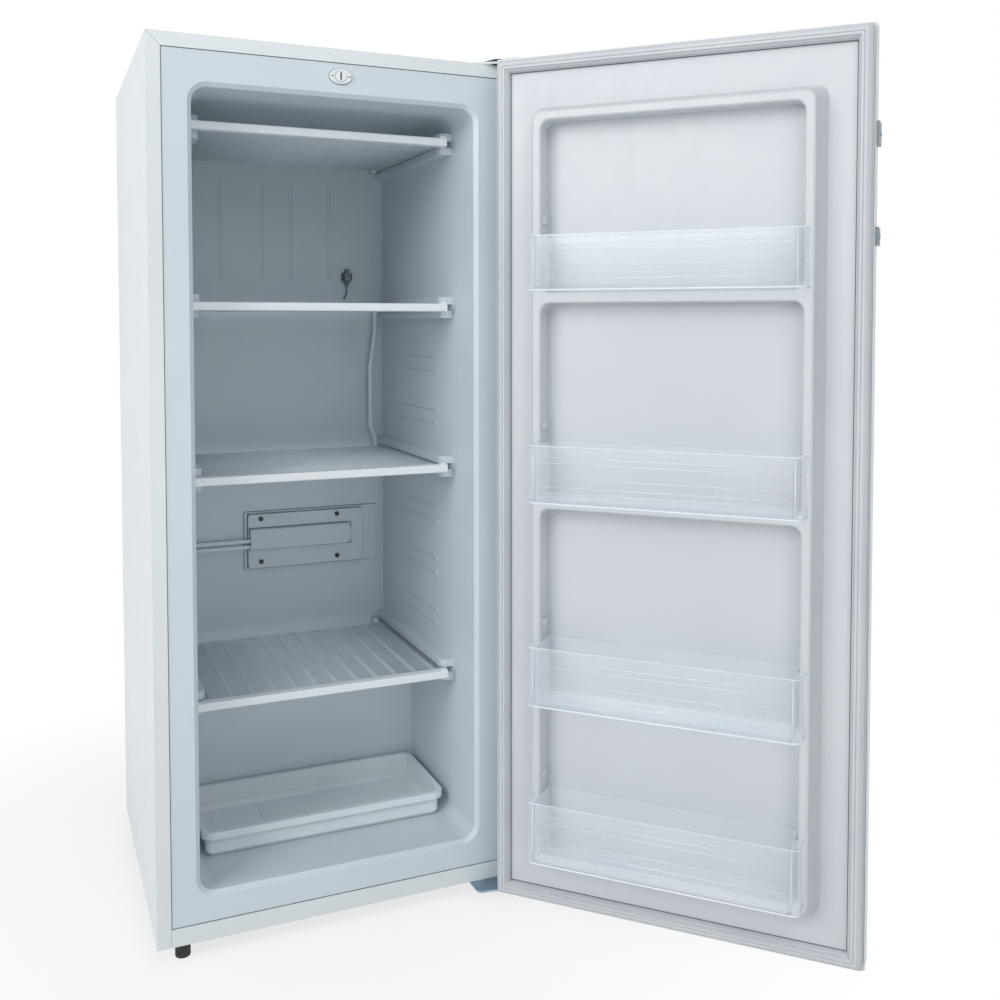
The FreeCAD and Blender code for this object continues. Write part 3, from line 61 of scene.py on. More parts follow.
# ---------------------------------------------------------------- sizes repeated from the model
HALF_WIDTH = 0.275                             # of the casing
FRONT = -0.256                                 # front of the casing
RIM = FRONT + 0.0012                           # front of the liner's rim, just behind it
CASING_BASE, CASING_TOP = 0.025, 1.320
FLANGE = 0.020                                 # width of the casing's front flange
TRIM_TOP = CASING_BASE + 0.026                 # upper edge of the strip below the mouth
MOUTH_BOTTOM = 0.094
BACK_WALL = 0.199                              # front of the liner's back wall
DOOR_BOTTOM, DOOR_TOP = 0.0275, 1.3165
GASKET_INNER = 0.004 + 0.019                   # the gasket's inner edge in from the door's sides
DOOR_REAR = FRONT - 0.014                      # its face that carries the gasket, when shut
PIN = Vector((0.260, -0.296, 0.0))             # on the axis of the door's hinge
DOOR_OPEN = math.radians(133.0)                # from shut to the pose at rest
DOOR_TURN = Matrix.Translation(PIN) @ Matrix.Rotation(DOOR_OPEN, 4, "Z") @ Matrix.Translation(-PIN)

SHELF_HEIGHTS = (1.208, 0.942, 0.680, 0.340)
SHELF_FRONT, SHELF_BACK = FRONT + 0.083, FRONT + 0.418     # outermost points of its bends
TRIM_HALF = 0.0065                             # half the height of a shelf's front trim
TUBE_RADIUS = 0.003
PASSES, PASS_PITCH = 12, 0.033
NET_HALF = 0.194                               # half the length of the wires
NET_START, NET_END = FRONT + 0.088, FRONT + 0.408          # first and last wire
TAIL_X = 0.1815                                # tubes' ends that enter the back wall

RIDGE_RISES = (0.3205, 0.4080, 0.4960, 0.6655, 0.7560)     # pairs of ridges, over MOUTH_BOTTOM
RIDGE_PITCH = 0.024
BEAD_EDGES = (-0.102, -0.026, 0.027, 0.100)    # right edges of the back wall's beads
PLATE_DEPTH, COVER_DEPTH = 0.003, 0.012        # joint cover's plate and face off the back wall
DIAL = Vector((0.0, RIM, 1.280))               # middle of the dial, on the rim
BEZEL_WIDE, BEZEL_HIGH = 0.0170, 0.0115        # half the bezel's width and height
BEZEL_HOLE = 0.0088                            # radius

# ---------------------------------------------------------------- sizes of what is only made here
WIRE_RADIUS, WIRE_GAPS = 0.0006, 44
BEND_STEPS, CORNER_STEPS = 12, 6
BIN_FRONT = FRONT + 0.060                      # bins' front wall, with the door shut
BIN_CREST = FRONT + 0.0256                     # just clear of the door's raised frame
BIN_HALF, BIN_END = 0.1862, 0.1966             # half its width in its pocket, and over the frame
BIN_CORNER = 0.010
RIB_HALF = 0.176
RIB_SHARES = (0.21, 0.31, 0.46, 0.71, 0.81)    # ribs between a bin's lower and upper edge
LINE_WIDTH = 0.0013
LINE_FRONT, LINE_BACK = 0.0006, 0.0001         # a line's faces, off the face that carries it
# thickness of the painted shade strips at seams, and of print
SEAM_SHADE_DEPTH, PRINT_DEPTH = 0.0004, 0.0001
SHARP_EDGE = math.radians(40.0)
SMALL = 1e-6

# ---------------------------------------------------------------- materials
NOISE_LOW, NOISE_HIGH = 0.3, 0.7               # where nearly all of a noise's values lie
GRAIN_STRENGTH = 0.35
ROUGHNESS_DETAIL = 9                           # its patches are this much finer than colour's
COAT_ROUGHNESS = 0.12
CLEAR_SHADOW = 0.1                             # share of its alpha by which it casts a shadow

# Two tones in screen values, lowest and highest roughness, and what differs from surface()'s
# defaults: noise scales of the colour's patches and of the grain, and the grain's depth in metres.
FINISHES = {
    "painted_casing": dict(light=(226, 231, 233), dark=(222, 228, 230), rough=(0.30, 0.38),
                           patch=3.0, grain=420.0, depth=0.00005, coat=0.15),
    "white_plastic": dict(light=(234, 238, 241), dark=(233, 237, 240), rough=(0.32, 0.42)),
    "liner_plastic": dict(light=(212, 222, 227), dark=(206, 216, 222), rough=(0.34, 0.46),
                          patch=5.0, grain=260.0, depth=0.00008),
    "grey_plastic": dict(light=(156, 162, 167), dark=(147, 153, 159), rough=(0.36, 0.46)),
    "black_plastic": dict(light=(38, 38, 40), dark=(30, 30, 32), rough=(0.45, 0.6)),
    "black_rubber": dict(light=(40, 40, 40), dark=(32, 32, 33), rough=(0.7, 0.85)),
    "gasket_white": dict(light=(208, 212, 215), dark=(200, 204, 208), rough=(0.5, 0.6),
                         patch=8.0, grain=500.0),
    "foam": dict(light=(224, 208, 160), dark=(206, 188, 138), rough=(0.85, 0.95),
                 patch=60.0, grain=700.0, depth=0.0006),
    "galvanised_steel": dict(light=(176, 180, 184), dark=(150, 156, 160), rough=(0.32, 0.5),
                             patch=70.0, grain=300.0, metallic=1.0),
    "zinc": dict(light=(158, 176, 190), dark=(132, 152, 168), rough=(0.28, 0.42),
                 patch=60.0, grain=700.0, depth=0.00003, metallic=1.0),
    "black_steel": dict(light=(44, 45, 47), dark=(34, 35, 37), rough=(0.35, 0.5), patch=20.0),
    "compressor_black": dict(light=(40, 41, 43), dark=(30, 31, 33), rough=(0.28, 0.42),
                             patch=14.0, grain=300.0, depth=0.0001, coat=0.3),
    "copper": dict(light=(206, 136, 98), dark=(176, 108, 76), rough=(0.25, 0.45),
                   patch=40.0, grain=600.0, depth=0.00003, metallic=1.0),
    "evaporator_white": dict(light=(240, 245, 248), dark=(232, 239, 243), rough=(0.35, 0.5),
                             patch=40.0, grain=500.0, depth=0.00008),
    "evaporator_wire": dict(light=(222, 231, 236), dark=(210, 220, 227), rough=(0.35, 0.5),
                            patch=60.0, grain=500.0, depth=0.00005),
    "bulb_metal": dict(light=(112, 118, 124), dark=(92, 98, 104), rough=(0.3, 0.45),
                       patch=60.0, grain=500.0, depth=0.00003, metallic=1.0),
    "pearl_plastic": dict(light=(232, 237, 240), dark=(224, 230, 234), rough=(0.28, 0.4),
                          patch=12.0, grain=160.0, depth=0.0001),
    "door_plastic": dict(light=(212, 216, 219), dark=(206, 210, 214), rough=(0.34, 0.46),
                         patch=5.0, grain=260.0, depth=0.00008),
    # painted shade: lines under the side walls' ridges and beside the back wall's beads
    "shade_grey": dict(light=(188, 198, 205), dark=(180, 190, 198), rough=(0.5, 0.6)),
    # painted shade: dark strips in the gaps round the liner's rim, inside the gasket and round the
    # joint cover
    "seam_shade_grey": dict(light=(106, 112, 118), dark=(94, 100, 106), rough=(0.6, 0.7)),
    # print on the dial, and the painted shade round its bezel
    "print_and_shade_grey": dict(light=(70, 76, 82), dark=(60, 66, 72), rough=(0.5, 0.6)),
}

# CAD nodes whose finish isn't the one of their slot
NODE_FINISHES = {
    "upper_hinge_bracket": "painted_casing",
    "door_liner": "door_plastic",
    "joint_cover_screws": "black_steel",
    "bulb_clip": "bulb_metal",
}


def srgb(red, green, blue):
    """A colour given as 0-255 screen values, as the linear colour that shaders take."""
    linear = []
    for value in (red, green, blue):
        share = value / 255
        linear.append(share / 12.92 if share <= 0.04045 else ((share + 0.055) / 1.055) ** 2.4)
    return (*linear, 1.0)


def new_material(name):
    """A material with its node tree, its shader and the object coordinates."""
    material = bpy.data.materials.new(name)
    material.use_nodes = True
    tree = material.node_tree
    place = tree.nodes.new("ShaderNodeTexCoord").outputs["Object"]
    return material, tree, tree.nodes["Principled BSDF"], place


def noise(tree, place, scale, detail=3.0):
    """A noise texture's value at a place."""
    node = tree.nodes.new("ShaderNodeTexNoise")
    node.inputs["Scale"].default_value = scale
    node.inputs["Detail"].default_value = detail
    tree.links.new(place, node.inputs["Vector"])
    return node.outputs["Fac"]


def spread(tree, value, low=0.0, high=1.0, start=NOISE_LOW, end=NOISE_HIGH):
    """A value whose range from start to end is stretched to run from low to high."""
    node = tree.nodes.new("ShaderNodeMapRange")
    node.inputs["From Min"].default_value = start
    node.inputs["From Max"].default_value = end
    node.inputs["To Min"].default_value = low
    node.inputs["To Max"].default_value = high
    tree.links.new(value, node.inputs["Value"])
    return node.outputs["Result"]


def calculate(tree, operation, first, second):
    """A Math node's result for two values."""
    node = tree.nodes.new("ShaderNodeMath")
    node.operation = operation
    tree.links.new(first, node.inputs[0])
    tree.links.new(second, node.inputs[1])
    return node.outputs[0]


def colour_by(tree, shader, factor, light, dark):
    """Blend the base colour from light to dark. The Mix node's colour sockets have numbers."""
    node = tree.nodes.new("ShaderNodeMix")
    node.data_type = "RGBA"
    node.inputs[6].default_value = srgb(*light)
    node.inputs[7].default_value = srgb(*dark)
    tree.links.new(factor, node.inputs[0])
    tree.links.new(node.outputs[2], shader.inputs["Base Color"])


def bump_by(tree, shader, height, strength, distance):
    """Tilt the shader's normals by a height."""
    node = tree.nodes.new("ShaderNodeBump")
    node.inputs["Strength"].default_value = strength
    node.inputs["Distance"].default_value = distance
    tree.links.new(height, node.inputs["Height"])
    tree.links.new(node.outputs["Normal"], shader.inputs["Normal"])


def surface(name, light, dark, rough, patch=6.0, grain=900.0, depth=0.00004, metallic=0.0,
            coat=0.0):
    """A finish with slow colour variation, uneven roughness and a fine grain in its normals."""
    material, tree, shader, place = new_material(name)
    colour_by(tree, shader, spread(tree, noise(tree, place, patch, detail=4.0)), light, dark)
    roughness = spread(tree, noise(tree, place, patch * ROUGHNESS_DETAIL), *rough)
    tree.links.new(roughness, shader.inputs["Roughness"])
    bump_by(tree, shader, noise(tree, place, grain, detail=2.0), GRAIN_STRENGTH, depth)
    shader.inputs["Metallic"].default_value = metallic
    shader.inputs["Coat Weight"].default_value = coat
    shader.inputs["Coat Roughness"].default_value = COAT_ROUGHNESS
    return material


def clear_plastic(name, face_on, edge_on):
    """Thin clear plastic: faint and pale face on, whiter where it is seen edge on."""
    material, tree, shader, place = new_material(name)
    colour_by(tree, shader, spread(tree, noise(tree, place, scale=9.0)),
              light=(243, 247, 251), dark=(233, 239, 245))
    roughness = spread(tree, noise(tree, place, scale=60.0), low=0.08, high=0.2)
    tree.links.new(roughness, shader.inputs["Roughness"])
    bump_by(tree, shader, noise(tree, place, scale=40.0), strength=0.05, distance=0.0002)
    edge = tree.nodes.new("ShaderNodeLayerWeight")
    edge.inputs["Blend"].default_value = 0.35
    shown = spread(tree, edge.outputs["Facing"], face_on, edge_on, start=0.0, end=1.0)
    shadow_ray = tree.nodes.new("ShaderNodeLightPath").outputs["Is Shadow Ray"]
    lessened = spread(tree, shadow_ray, low=1.0, high=CLEAR_SHADOW, start=0.0, end=1.0)
    tree.links.new(calculate(tree, "MULTIPLY", shown, lessened), shader.inputs["Alpha"])
    shader.inputs["Specular IOR Level"].default_value = 0.9
    return material


MATERIALS = {name: surface(name, **finish) for name, finish in FINISHES.items()}
MATERIALS["clear_plastic"] = clear_plastic("clear_plastic", face_on=0.13, edge_on=0.8)
MATERIALS["clear_edge"] = clear_plastic("clear_edge", face_on=0.75, edge_on=0.95)


def finish_nodes():
    """Give each CAD node its slot's material, or its own where the two differ."""
    for name, node in NODES.items():
        node.data.materials.clear()
        node.data.materials.append(MATERIALS[NODE_FINISHES.get(name, SLOTS[name])])
        for face in node.data.polygons:
            face.material_index = 0


# ---------------------------------------------------------------- mesh helpers
def new_piece(name, mesh, body, material, slot=None, smooth=True):
    """Show a mesh as a piece that rides on a body. The slot argument is not used."""
    mesh.name = name
    mesh.materials.append(MATERIALS[material])
    for face in mesh.polygons:
        face.use_smooth = smooth
    piece = bpy.data.objects.new(name, mesh)
    bpy.context.scene.collection.objects.link(piece)
    slot = slot or material
    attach(piece, body)
    return piece


def arc(centre, radius, start, turn, steps, height):
    """Points at one height on an arc that begins at start degrees and turns by turn degrees."""
    x, y = centre
    angles = [math.radians(start + turn * i / steps) for i in range(steps + 1)]
    return [(x + radius * math.cos(a), y + radius * math.sin(a), height) for a in angles]


def sweep(vertices, faces, path, radius, sides=10):
    """Add a round tube along a path, closed at both ends, to lists of vertices and faces."""
    path = [Vector(point) for point in path]
    along = [(b - a).normalized() for a, b in zip(path, path[1:])]
    side = along[0].cross(Vector((0, 0, 1)))
    if side.length < 0.1:                      # the tube starts upright
        side = along[0].cross(Vector((0, 1, 0)))
    side.normalize()
    up = side.cross(along[0])
    rings = [[path[0] + radius * (math.cos(t) * side + math.sin(t) * up)
              for t in (2 * math.pi * i / sides for i in range(sides))]]
    for point, before, after in zip(path[1:], along, along[1:] + along[-1:]):
        mitre = (before + after).normalized()
        rings.append([p + before * ((point - p).dot(mitre) / before.dot(mitre)) for p in rings[-1]])
    base = len(vertices)
    last = base + (len(rings) - 1) * sides
    for ring in rings:
        vertices.extend(ring)
    for a in range(base, last, sides):
        faces.extend((a + j, a + sides + j, a + sides + (j + 1) % sides, a + (j + 1) % sides)
                     for j in range(sides))
    faces.append(tuple(base + j for j in range(sides)))
    faces.append(tuple(last + j for j in reversed(range(sides))))


def mesh_of(vertices, faces):
    """A mesh of lists of vertices and faces, its normals turned outward."""
    mesh = bpy.data.meshes.new("piece")
    mesh.from_pydata([tuple(v) for v in vertices], [], faces)
    builder = bmesh.new()
    builder.from_mesh(mesh)
    bmesh.ops.recalc_face_normals(builder, faces=builder.faces)
    builder.to_mesh(mesh)
    builder.free()
    return mesh


def from_builder(builder, turn=None):
    """The builder's mesh, sharp at its edges and moved by turn."""
    for edge in builder.edges:
        if len(edge.link_faces) == 2 and edge.calc_face_angle(0.0) > SHARP_EDGE:
            edge.smooth = False
    if turn:
        bmesh.ops.transform(builder, matrix=turn, verts=builder.verts)
    mesh = bpy.data.meshes.new("piece")
    builder.to_mesh(mesh)
    builder.free()
    return mesh


def prism(outline, low, high, bevel=0.0, builder=None):
    """Add a plate with the plan outline between two heights, rounded except round its underside."""
    builder = builder or bmesh.new()
    floor_face = builder.faces.new([builder.verts.new((x, y, low)) for x, y in outline])
    grown = bmesh.ops.extrude_face_region(builder, geom=[floor_face])
    top = [v for v in grown["geom"] if isinstance(v, bmesh.types.BMVert)]
    bmesh.ops.translate(builder, verts=top, vec=(0, 0, high - low))
    bmesh.ops.recalc_face_normals(builder, faces=builder.faces)
    if bevel:
        rounded = [e for e in builder.edges if max(v.co.z for v in e.verts) > low + SMALL]
        bmesh.ops.bevel(builder, geom=rounded, offset=bevel, segments=3, affect="EDGES",
                        profile=0.5)
    return builder


def boxes(corners, turn=None):
    """One mesh of boxes given by their lowest and highest corners."""
    builder = bmesh.new()
    for low, high in corners:
        low, high = Vector(low), Vector(high)
        made = bmesh.ops.create_cube(builder, size=1.0)["verts"]
        bmesh.ops.scale(builder, vec=high - low, verts=made)
        bmesh.ops.translate(builder, vec=(low + high) / 2, verts=made)
    return from_builder(builder, turn)


def strips(x0, x1, low, high, width, y0, y1):
    """Corners of four strips inside the outline of a rectangle that faces front."""
    return [((x0, y0, low), (x0 + width, y1, high)), ((x1 - width, y0, low), (x1, y1, high)),
            ((x0 + width, y0, low), (x1 - width, y1, low + width)),
            ((x0 + width, y0, high - width), (x1 - width, y1, high))]


# ---------------------------------------------------------------- evaporator shelves
def coil(height, end_y):
    """The serpentine of one shelf, its bends true half turns. Its right end runs on to end_y."""
    radius = PASS_PITCH / 2
    half = PASS_PITCH * (PASSES - 1) / 2
    front, rear = SHELF_FRONT + radius, SHELF_BACK - radius
    path = [(-half, SHELF_BACK, height)]
    for i in range(PASSES - 1):
        middle = -half + PASS_PITCH * (i + 0.5)
        y, turn = (rear, -180) if i % 2 else (front, 180)
        path += arc((middle, y), radius, 180, turn, BEND_STEPS, height)
    return path + [(half, end_y, height)]


def wire_net(height):
    """Two layers of cross wires, over and under the tubes of one shelf."""
    vertices, faces = [], []
    for level in (height + TUBE_RADIUS + WIRE_RADIUS, height - TUBE_RADIUS - WIRE_RADIUS):
        for i in range(WIRE_GAPS + 1):
            y = NET_START + (NET_END - NET_START) * i / WIRE_GAPS
            wire = [(-NET_HALF, y, level), (NET_HALF, y, level)]
            sweep(vertices, faces, wire, WIRE_RADIUS, sides=6)
    return mesh_of(vertices, faces)


def shelves():
    """Rounder tubes and finer, closer wires in place of the plain ones of each shelf."""
    for number, height in enumerate(SHELF_HEIGHTS, 1):
        end_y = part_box(f"evaporator_tube_{number}")[1].y
        vertices, faces = [], []
        sweep(vertices, faces, coil(height, end_y), TUBE_RADIUS)
        tube = new_piece(f"shelf_tube_{number}", mesh_of(vertices, faces), "cabinet",
                         "evaporator_white")
        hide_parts(f"evaporator_tube_{number}")
        wires = new_piece(f"shelf_wires_{number}", wire_net(height), "cabinet", "evaporator_wire")
        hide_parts(f"evaporator_wires_{number}")


def trim_stops():
    """Stops between the left ends of the shelves' trims and the liner's wall."""
    left, right, half = -0.2095, -0.1945, 0.0060
    front, rear = SHELF_FRONT - 0.0080, SHELF_FRONT + 0.0070
    corners = [((left, front, z - half), (right, rear, z + half)) for z in SHELF_HEIGHTS]
    new_piece("trim_stops", boxes(corners), "cabinet", "white_plastic", smooth=False)


def tail_sleeves():
    """White sleeves on the two tube ends that go through the back wall."""
    start, end, radius = 0.1630, 0.1988, 0.0044
    vertices, faces = [], []
    for z in (SHELF_HEIGHTS[0], SHELF_HEIGHTS[3]):
        sweep(vertices, faces, [(TAIL_X, start, z), (TAIL_X, end, z)], radius, sides=16)
    new_piece("tail_sleeves", mesh_of(vertices, faces), "cabinet", "evaporator_white")


def shelf_clips():
    """Small white clip near the right end of each shelf's front trim: a pad and a tab in front."""
    pad, tab = (0.1840, 0.1940), (0.1865, 0.1915)              # left and right sides
    thick, tab_drop, tab_depth = 0.0028, 0.004, 0.001
    front, rear = SHELF_FRONT - 0.0065, SHELF_FRONT + 0.0010
    corners = []
    for height in SHELF_HEIGHTS:
        top = height + TRIM_HALF
        corners += [((pad[0], front, top), (pad[1], rear, top + thick)),
                    ((tab[0], front - tab_depth, top - tab_drop), (tab[1], front, top + thick))]
    new_piece("shelf_clips", boxes(corners), "cabinet", "white_plastic", smooth=False)


# ---------------------------------------------------------------- painted shade on liner walls
def cover_shade_lines():
    """Painted shade in the gaps round the joint cover's back plate, the cover and its raised
    channel.
    """
    outlines = ((-0.0670, 0.1880, 0.4590, 0.5670, BACK_WALL),
                (-0.0610, 0.1570, 0.4620, 0.5630, BACK_WALL - PLATE_DEPTH),
                (-0.0590, 0.1350, 0.4960, 0.5380, BACK_WALL - COVER_DEPTH))
    corners = []
    for left, right, low, high, face in outlines:
        corners += strips(left, right, low, high, LINE_WIDTH, face - LINE_FRONT, face - LINE_BACK)
    new_piece("cover_shade_lines", boxes(corners), "cabinet", "seam_shade_grey", "liner_plastic", smooth=False)


def wall_shade_lines():
    """Painted shade under the side walls' ridges, and along the right edges of the back wall's
    beads.
    """
    plan = ((0.2067, -0.0935), (0.2095, -0.0935), (0.2022, 0.1390))        # thins to the back
    low, high = 0.0034, 0.0026                 # below a ridge's middle
    builder = bmesh.new()
    for rise in RIDGE_RISES:
        for z in (MOUTH_BOTTOM + rise - RIDGE_PITCH / 2, MOUTH_BOTTOM + rise + RIDGE_PITCH / 2):
            for side in (-1, 1):
                prism([(side * x, y) for x, y in plan], z - low, z - high, builder=builder)
    new_piece("ridge_shade_lines", from_builder(builder), "cabinet", "shade_grey", "liner_plastic",
              smooth=False)

    width, front, back, low, high = 0.0009, BACK_WALL - 0.0014, BACK_WALL - LINE_BACK, 1.001, 1.177
    corners = [((x, front, low), (x + width, back, high)) for x in BEAD_EDGES]
    new_piece("bead_shade_lines", boxes(corners), "cabinet", "shade_grey", "liner_plastic", smooth=False)


# ---------------------------------------------------------------- door bins, placed as when shut
def bin_rim(z):
    """A bin's edge at one height, from end to end round its front."""
    x, y = BIN_END - BIN_CORNER, BIN_FRONT - BIN_CORNER
    return [(-BIN_END, BIN_CREST, z), *arc((-x, y), BIN_CORNER, 180, -90, CORNER_STEPS, z),
            *arc((x, y), BIN_CORNER, 90, -90, CORNER_STEPS, z), (BIN_END, BIN_CREST, z)]


def bin_ends(low, high):
    """The two ends of a bin that lap over the door's raised frame."""
    centre = (BIN_END - BIN_CORNER, BIN_FRONT - BIN_CORNER)
    rounded = arc(centre, BIN_CORNER, 0, 70, 5, 0)
    behind, rise, drop = 0.0012, 0.0010, 0.0005                # off the bin's front, low and high
    outline = [(BIN_HALF, BIN_CREST), (BIN_END, BIN_CREST), *(point[:2] for point in rounded),
               (BIN_HALF, BIN_FRONT - behind)]
    builder = bmesh.new()
    for side in (-1, 1):
        prism([(side * x, y) for x, y in outline], low + rise, high - drop, builder=builder)
    return from_builder(builder, DOOR_TURN)


def bin_edges(low, high):
    """Rounded lower and upper rims of a bin, its four upright edges and the ribs of its front."""
    low_radius, high_radius, upright_radius, rib_radius = 0.0012, 0.0007, 0.0007, 0.0005
    front_edge, rib_y = BIN_FRONT - 0.0006, BIN_FRONT + 0.0013
    start, end = low + 0.002, high - 0.001
    vertices, faces = [], []
    sweep(vertices, faces, bin_rim(low + low_radius), low_radius, sides=8)
    sweep(vertices, faces, bin_rim(high - high_radius), high_radius, sides=8)
    for x, y in ((BIN_END, BIN_CREST), (BIN_HALF, front_edge)):
        for side in (-x, x):
            sweep(vertices, faces, [(side, y, start), (side, y, end)], upright_radius, sides=8)
    for share in RIB_SHARES:
        z = low + (high - low) * share
        rib = [(-RIB_HALF, rib_y, z), (RIB_HALF, rib_y, z)]
        sweep(vertices, faces, rib, rib_radius, sides=6)
    return mesh_of([DOOR_TURN @ Vector(v) for v in vertices], faces)


def bins():
    """Lapping ends, bright rims and ribs for the four clear door bins."""
    for number in range(1, 5):
        body = f"door_bin_{number}"
        low, high = (corner.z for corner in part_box(body))
        new_piece(f"bin_ends_{number}", bin_ends(low, high), body, "clear_plastic")
        new_piece(f"bin_lines_{number}", bin_edges(low, high), body, "clear_edge", "clear_plastic")


# ---------------------------------------------------------------- hinges; painted shade at seams
def hinge_cap():
    """Low black cap over the upper hinge's screws, its left front corner slanted."""
    left, right = HALF_WIDTH - 0.0400, HALF_WIDTH - 0.0005
    front, rear, cut = FRONT - 0.013, FRONT + 0.054, 0.006
    height, bevel = 0.0078, 0.0018
    outline = [(left + 0.008, front + 0.004), (left + 0.018, front), (right - 0.004, front),
               (right, front + cut), (right, rear - cut), (right - cut, rear), (left + cut, rear),
               (left, rear - cut), (left, front + 0.025)]
    builder = prism(outline, CASING_TOP, CASING_TOP + height, bevel)
    cap = new_piece("hinge_cap", from_builder(builder), "cabinet", "black_plastic")
    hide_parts("hinge_cover")


def hinge_wing():
    """Forward wing of the lower hinge's plate, left of its pin."""
    left, right = HALF_WIDTH - 0.071, PIN.x - 0.0102
    outline = [(left, FRONT + 0.0065), (left, FRONT - 0.029), (left + 0.004, FRONT - 0.033),
               (PIN.x - 0.018, FRONT - 0.040), (right, FRONT - 0.036), (right, FRONT - 0.0135)]
    low, high, bevel = CASING_BASE - 0.0029, CASING_BASE - 0.0001, 0.0004
    new_piece("hinge_wing", from_builder(prism(outline, low, high, bevel)), "cabinet", "zinc")


def seam_shades():
    """Painted shade in the gap between casing and liner, and in the one inside the door's gasket.
    """
    x, width = HALF_WIDTH - FLANGE, 0.0011
    corners = strips(-x, x, TRIM_TOP, CASING_TOP - FLANGE, width, RIM - SEAM_SHADE_DEPTH, RIM)
    new_piece("casing_seam_shade", boxes(corners), "cabinet", "seam_shade_grey", "liner_plastic", smooth=False)
    lap, depth = 0.0002, 0.0003
    x = HALF_WIDTH - GASKET_INNER + lap
    low, high = DOOR_BOTTOM + GASKET_INNER, DOOR_TOP - GASKET_INNER
    corners = strips(-x, x, low, high, LINE_WIDTH, DOOR_REAR, DOOR_REAR + depth)
    new_piece("gasket_seam_shade", boxes(corners, DOOR_TURN), "door", "seam_shade_grey", "liner_plastic",
              smooth=False)


# ---------------------------------------------------------------- thermostat dial
def oval(half_width, half_height, y, sides=56):
    """Points round an ellipse that faces front, centred on the dial."""
    return [(DIAL.x + half_width * math.cos(t), y, DIAL.z + half_height * math.sin(t))
            for t in (2 * math.pi * i / sides for i in range(sides))]


def lofted(loops, closed=True):
    """A mesh of quads through loops of equally many points."""
    sides = len(loops[0])
    faces = []
    for i in range(len(loops) if closed else len(loops) - 1):
        a, b = i * sides, (i + 1) % len(loops) * sides
        faces += [(a + j, a + (j + 1) % sides, b + (j + 1) % sides, b + j) for j in range(sides)]
    return mesh_of([point for loop in loops for point in loop], faces)


def dial_bezel():
    """Oval bezel round the dial, with a thin ring of painted shade where it meets the liner."""
    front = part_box("thermostat_bezel")[0].y
    outside = ((0.0, RIM), (0.0, front + 0.0008), (0.0003, front + 0.0002), (0.0010, front))
    inside = ((BEZEL_HOLE + 0.0004, front), (BEZEL_HOLE, front + 0.0004), (BEZEL_HOLE, RIM))
    loops = [oval(BEZEL_WIDE - inset, BEZEL_HIGH - inset, y) for inset, y in outside]
    loops += [oval(radius, radius, y) for radius, y in inside]
    bezel = new_piece("dial_bezel", lofted(loops), "cabinet", "white_plastic")
    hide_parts("thermostat_bezel")

    # a thin dark ring of painted shade round the bezel's foot
    raised = RIM - SEAM_SHADE_DEPTH
    line = ((-0.0002, raised), (0.0007, raised), (0.0007, RIM))
    loops = [oval(BEZEL_WIDE + grow, BEZEL_HIGH + grow, y) for grow, y in line]
    new_piece("bezel_shade_line", lofted(loops, closed=False), "cabinet", "print_and_shade_grey", "white_plastic",
              smooth=False)


def dial_marks():
    """A dash left of the dial, two dots right of it, and the dial's pointer line."""
    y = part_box("thermostat_bezel")[0].y
    # left and right ends, from the dial's middle, and half the height
    marks = ((-0.0150, -0.0112, 0.0007), (0.0102, 0.0118, 0.0008), (0.0132, 0.0152, 0.0011))
    corners = [((DIAL.x + left, y - PRINT_DEPTH, DIAL.z - half), (DIAL.x + right, y, DIAL.z + half))
               for left, right, half in marks]
    new_piece("dial_marks", boxes(corners), "cabinet", "print_and_shade_grey", "grey_plastic", smooth=False)

    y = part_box("thermostat_dial")[0].y
    half, below, above = 0.0009, 0.0050, 0.0062
    corners = [((DIAL.x - half, y - PRINT_DEPTH, DIAL.z - below),
                (DIAL.x + half, y, DIAL.z + above))]
    new_piece("dial_pointer", boxes(corners), "thermostat_dial", "print_and_shade_grey", "grey_plastic",
              smooth=False)


# ---------------------------------------------------------------- stage, light and camera
FLOOR_REACH = 30.0
FLOOR_FADE = (0.3, 0.95)                       # distances from the origin
FLOOR_WHITE = (0.72, 1.0)                      # and how white the floor is seen there
SOFT_LIGHT, SOFT_STRENGTH = (0.88, 0.95, 1.0, 1.0), 0.39
LAMPS = (                                      # name, place, target, size, power
    ("key", (-3.0, -1.7, 2.3), (0.0, 0.0, 0.6), 2.2, 65.0),
    ("front", (0.1, -1.9, 2.2), (0.1, 0.0, 0.6), 1.2, 8.5),
    ("low", (0.05, -2.5, 0.45), (0.0, 0.0, 0.35), 0.8, 4.0),
)
CAMERA_PLACE = (-0.4320, -1.8482, 0.9151)
CAMERA_TURN = (87.61, 0.0, -23.98)             # degrees
CAMERA_LENS, CAMERA_SENSOR = 39.41, 36.0       # millimetres
CAMERA_SHIFT = (-0.01185, -0.13007)


def seen_directly(tree):
    """1 for rays from the camera, in reflections and through clear pieces, and 0 for light."""
    path = tree.nodes.new("ShaderNodeLightPath").outputs
    indirect = calculate(tree, "MAXIMUM", path["Is Glossy Ray"], path["Is Transmission Ray"])
    return calculate(tree, "MAXIMUM", path["Is Camera Ray"], indirect)


def mix_into(tree, output, factor, first, second):
    """Send a mix of two shaders to the surface of an output node."""
    mix = tree.nodes.new("ShaderNodeMixShader")
    for value, socket in zip((factor, first.outputs[0], second.outputs[0]), mix.inputs):
        tree.links.new(value, socket)
    tree.links.new(mix.outputs[0], tree.nodes[output].inputs["Surface"])


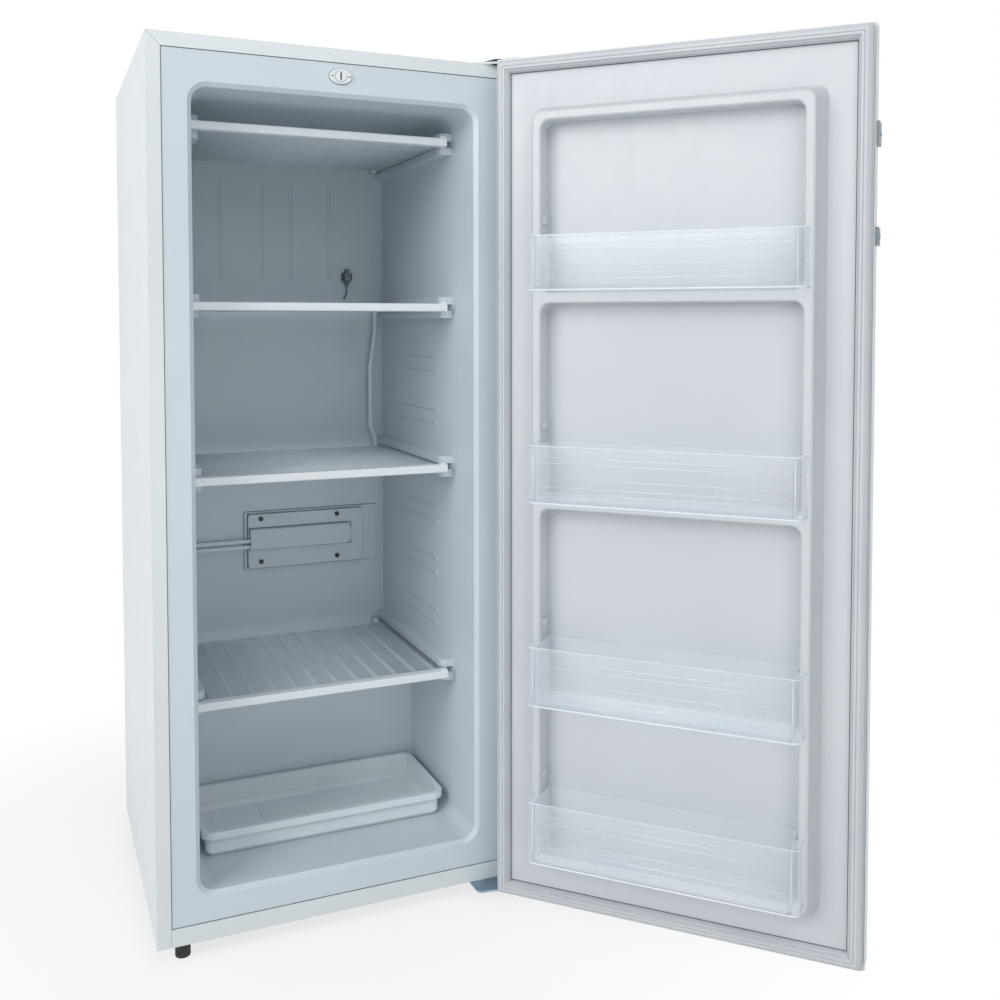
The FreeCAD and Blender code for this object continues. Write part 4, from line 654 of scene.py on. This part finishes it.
def floor():
    """Pale floor that keeps the shadow near the object and is seen as white further away."""
    mesh = bpy.data.meshes.new("floor")
    low, high = -FLOOR_REACH, FLOOR_REACH
    corners = [(low, low, 0), (high, low, 0), (high, high, 0), (low, high, 0)]
    mesh.from_pydata(corners, [], [(0, 1, 2, 3)])
    plane = bpy.data.objects.new("floor", mesh)
    bpy.context.scene.collection.objects.link(plane)
    material, tree, shader, place = new_material("floor")
    colour_by(tree, shader, spread(tree, noise(tree, place, scale=1.5)),
              light=(246, 246, 246), dark=(243, 243, 243))
    shader.inputs["Roughness"].default_value = 0.9
    length = tree.nodes.new("ShaderNodeVectorMath")
    length.operation = "LENGTH"
    tree.links.new(place, length.inputs[0])
    white = spread(tree, length.outputs["Value"], *FLOOR_WHITE, *FLOOR_FADE)
    factor = calculate(tree, "MULTIPLY", seen_directly(tree), white)
    mix_into(tree, "Material Output", factor, shader, tree.nodes.new("ShaderNodeEmission"))
    mesh.materials.append(material)


def world():
    """White to the camera and in reflections, a plain soft light to everything else."""
    sky = bpy.data.worlds.new("studio")
    bpy.context.scene.world = sky
    sky.use_nodes = True
    tree = sky.node_tree
    white = tree.nodes["Background"]
    white.inputs["Color"].default_value = (1, 1, 1, 1)
    soft = tree.nodes.new("ShaderNodeBackground")
    soft.inputs["Color"].default_value = SOFT_LIGHT
    soft.inputs["Strength"].default_value = SOFT_STRENGTH
    mix_into(tree, "World Output", seen_directly(tree), soft, white)


def lamp(name, place, target, size, power):
    """A square area lamp that points at its target."""
    data = bpy.data.lights.new(name, "AREA")
    data.shape = "SQUARE"
    data.size = size
    data.energy = power
    light = bpy.data.objects.new(name, data)
    bpy.context.scene.collection.objects.link(light)
    light.location = place
    light.rotation_euler = (Vector(target) - Vector(place)).to_track_quat("-Z", "Y").to_euler()


def camera():
    """The photograph's viewpoint and framing."""
    data = bpy.data.cameras.new("photo")
    data.sensor_width = CAMERA_SENSOR
    data.lens = CAMERA_LENS
    data.shift_x, data.shift_y = CAMERA_SHIFT
    view = bpy.data.objects.new("photo", data)
    bpy.context.scene.collection.objects.link(view)
    view.location = CAMERA_PLACE
    view.rotation_euler = [math.radians(angle) for angle in CAMERA_TURN]
    bpy.context.scene.camera = view


# ---------------------------------------------------------------- the scene
finish_nodes()
shelves()
trim_stops()
tail_sleeves()
cover_shade_lines()
wall_shade_lines()
bins()
hinge_cap()
hinge_wing()
seam_shades()
shelf_clips()
dial_bezel()
dial_marks()

bpy.context.scene.view_settings.view_transform = "Standard"
floor()
world()
for settings in LAMPS:
    lamp(*settings)
camera()
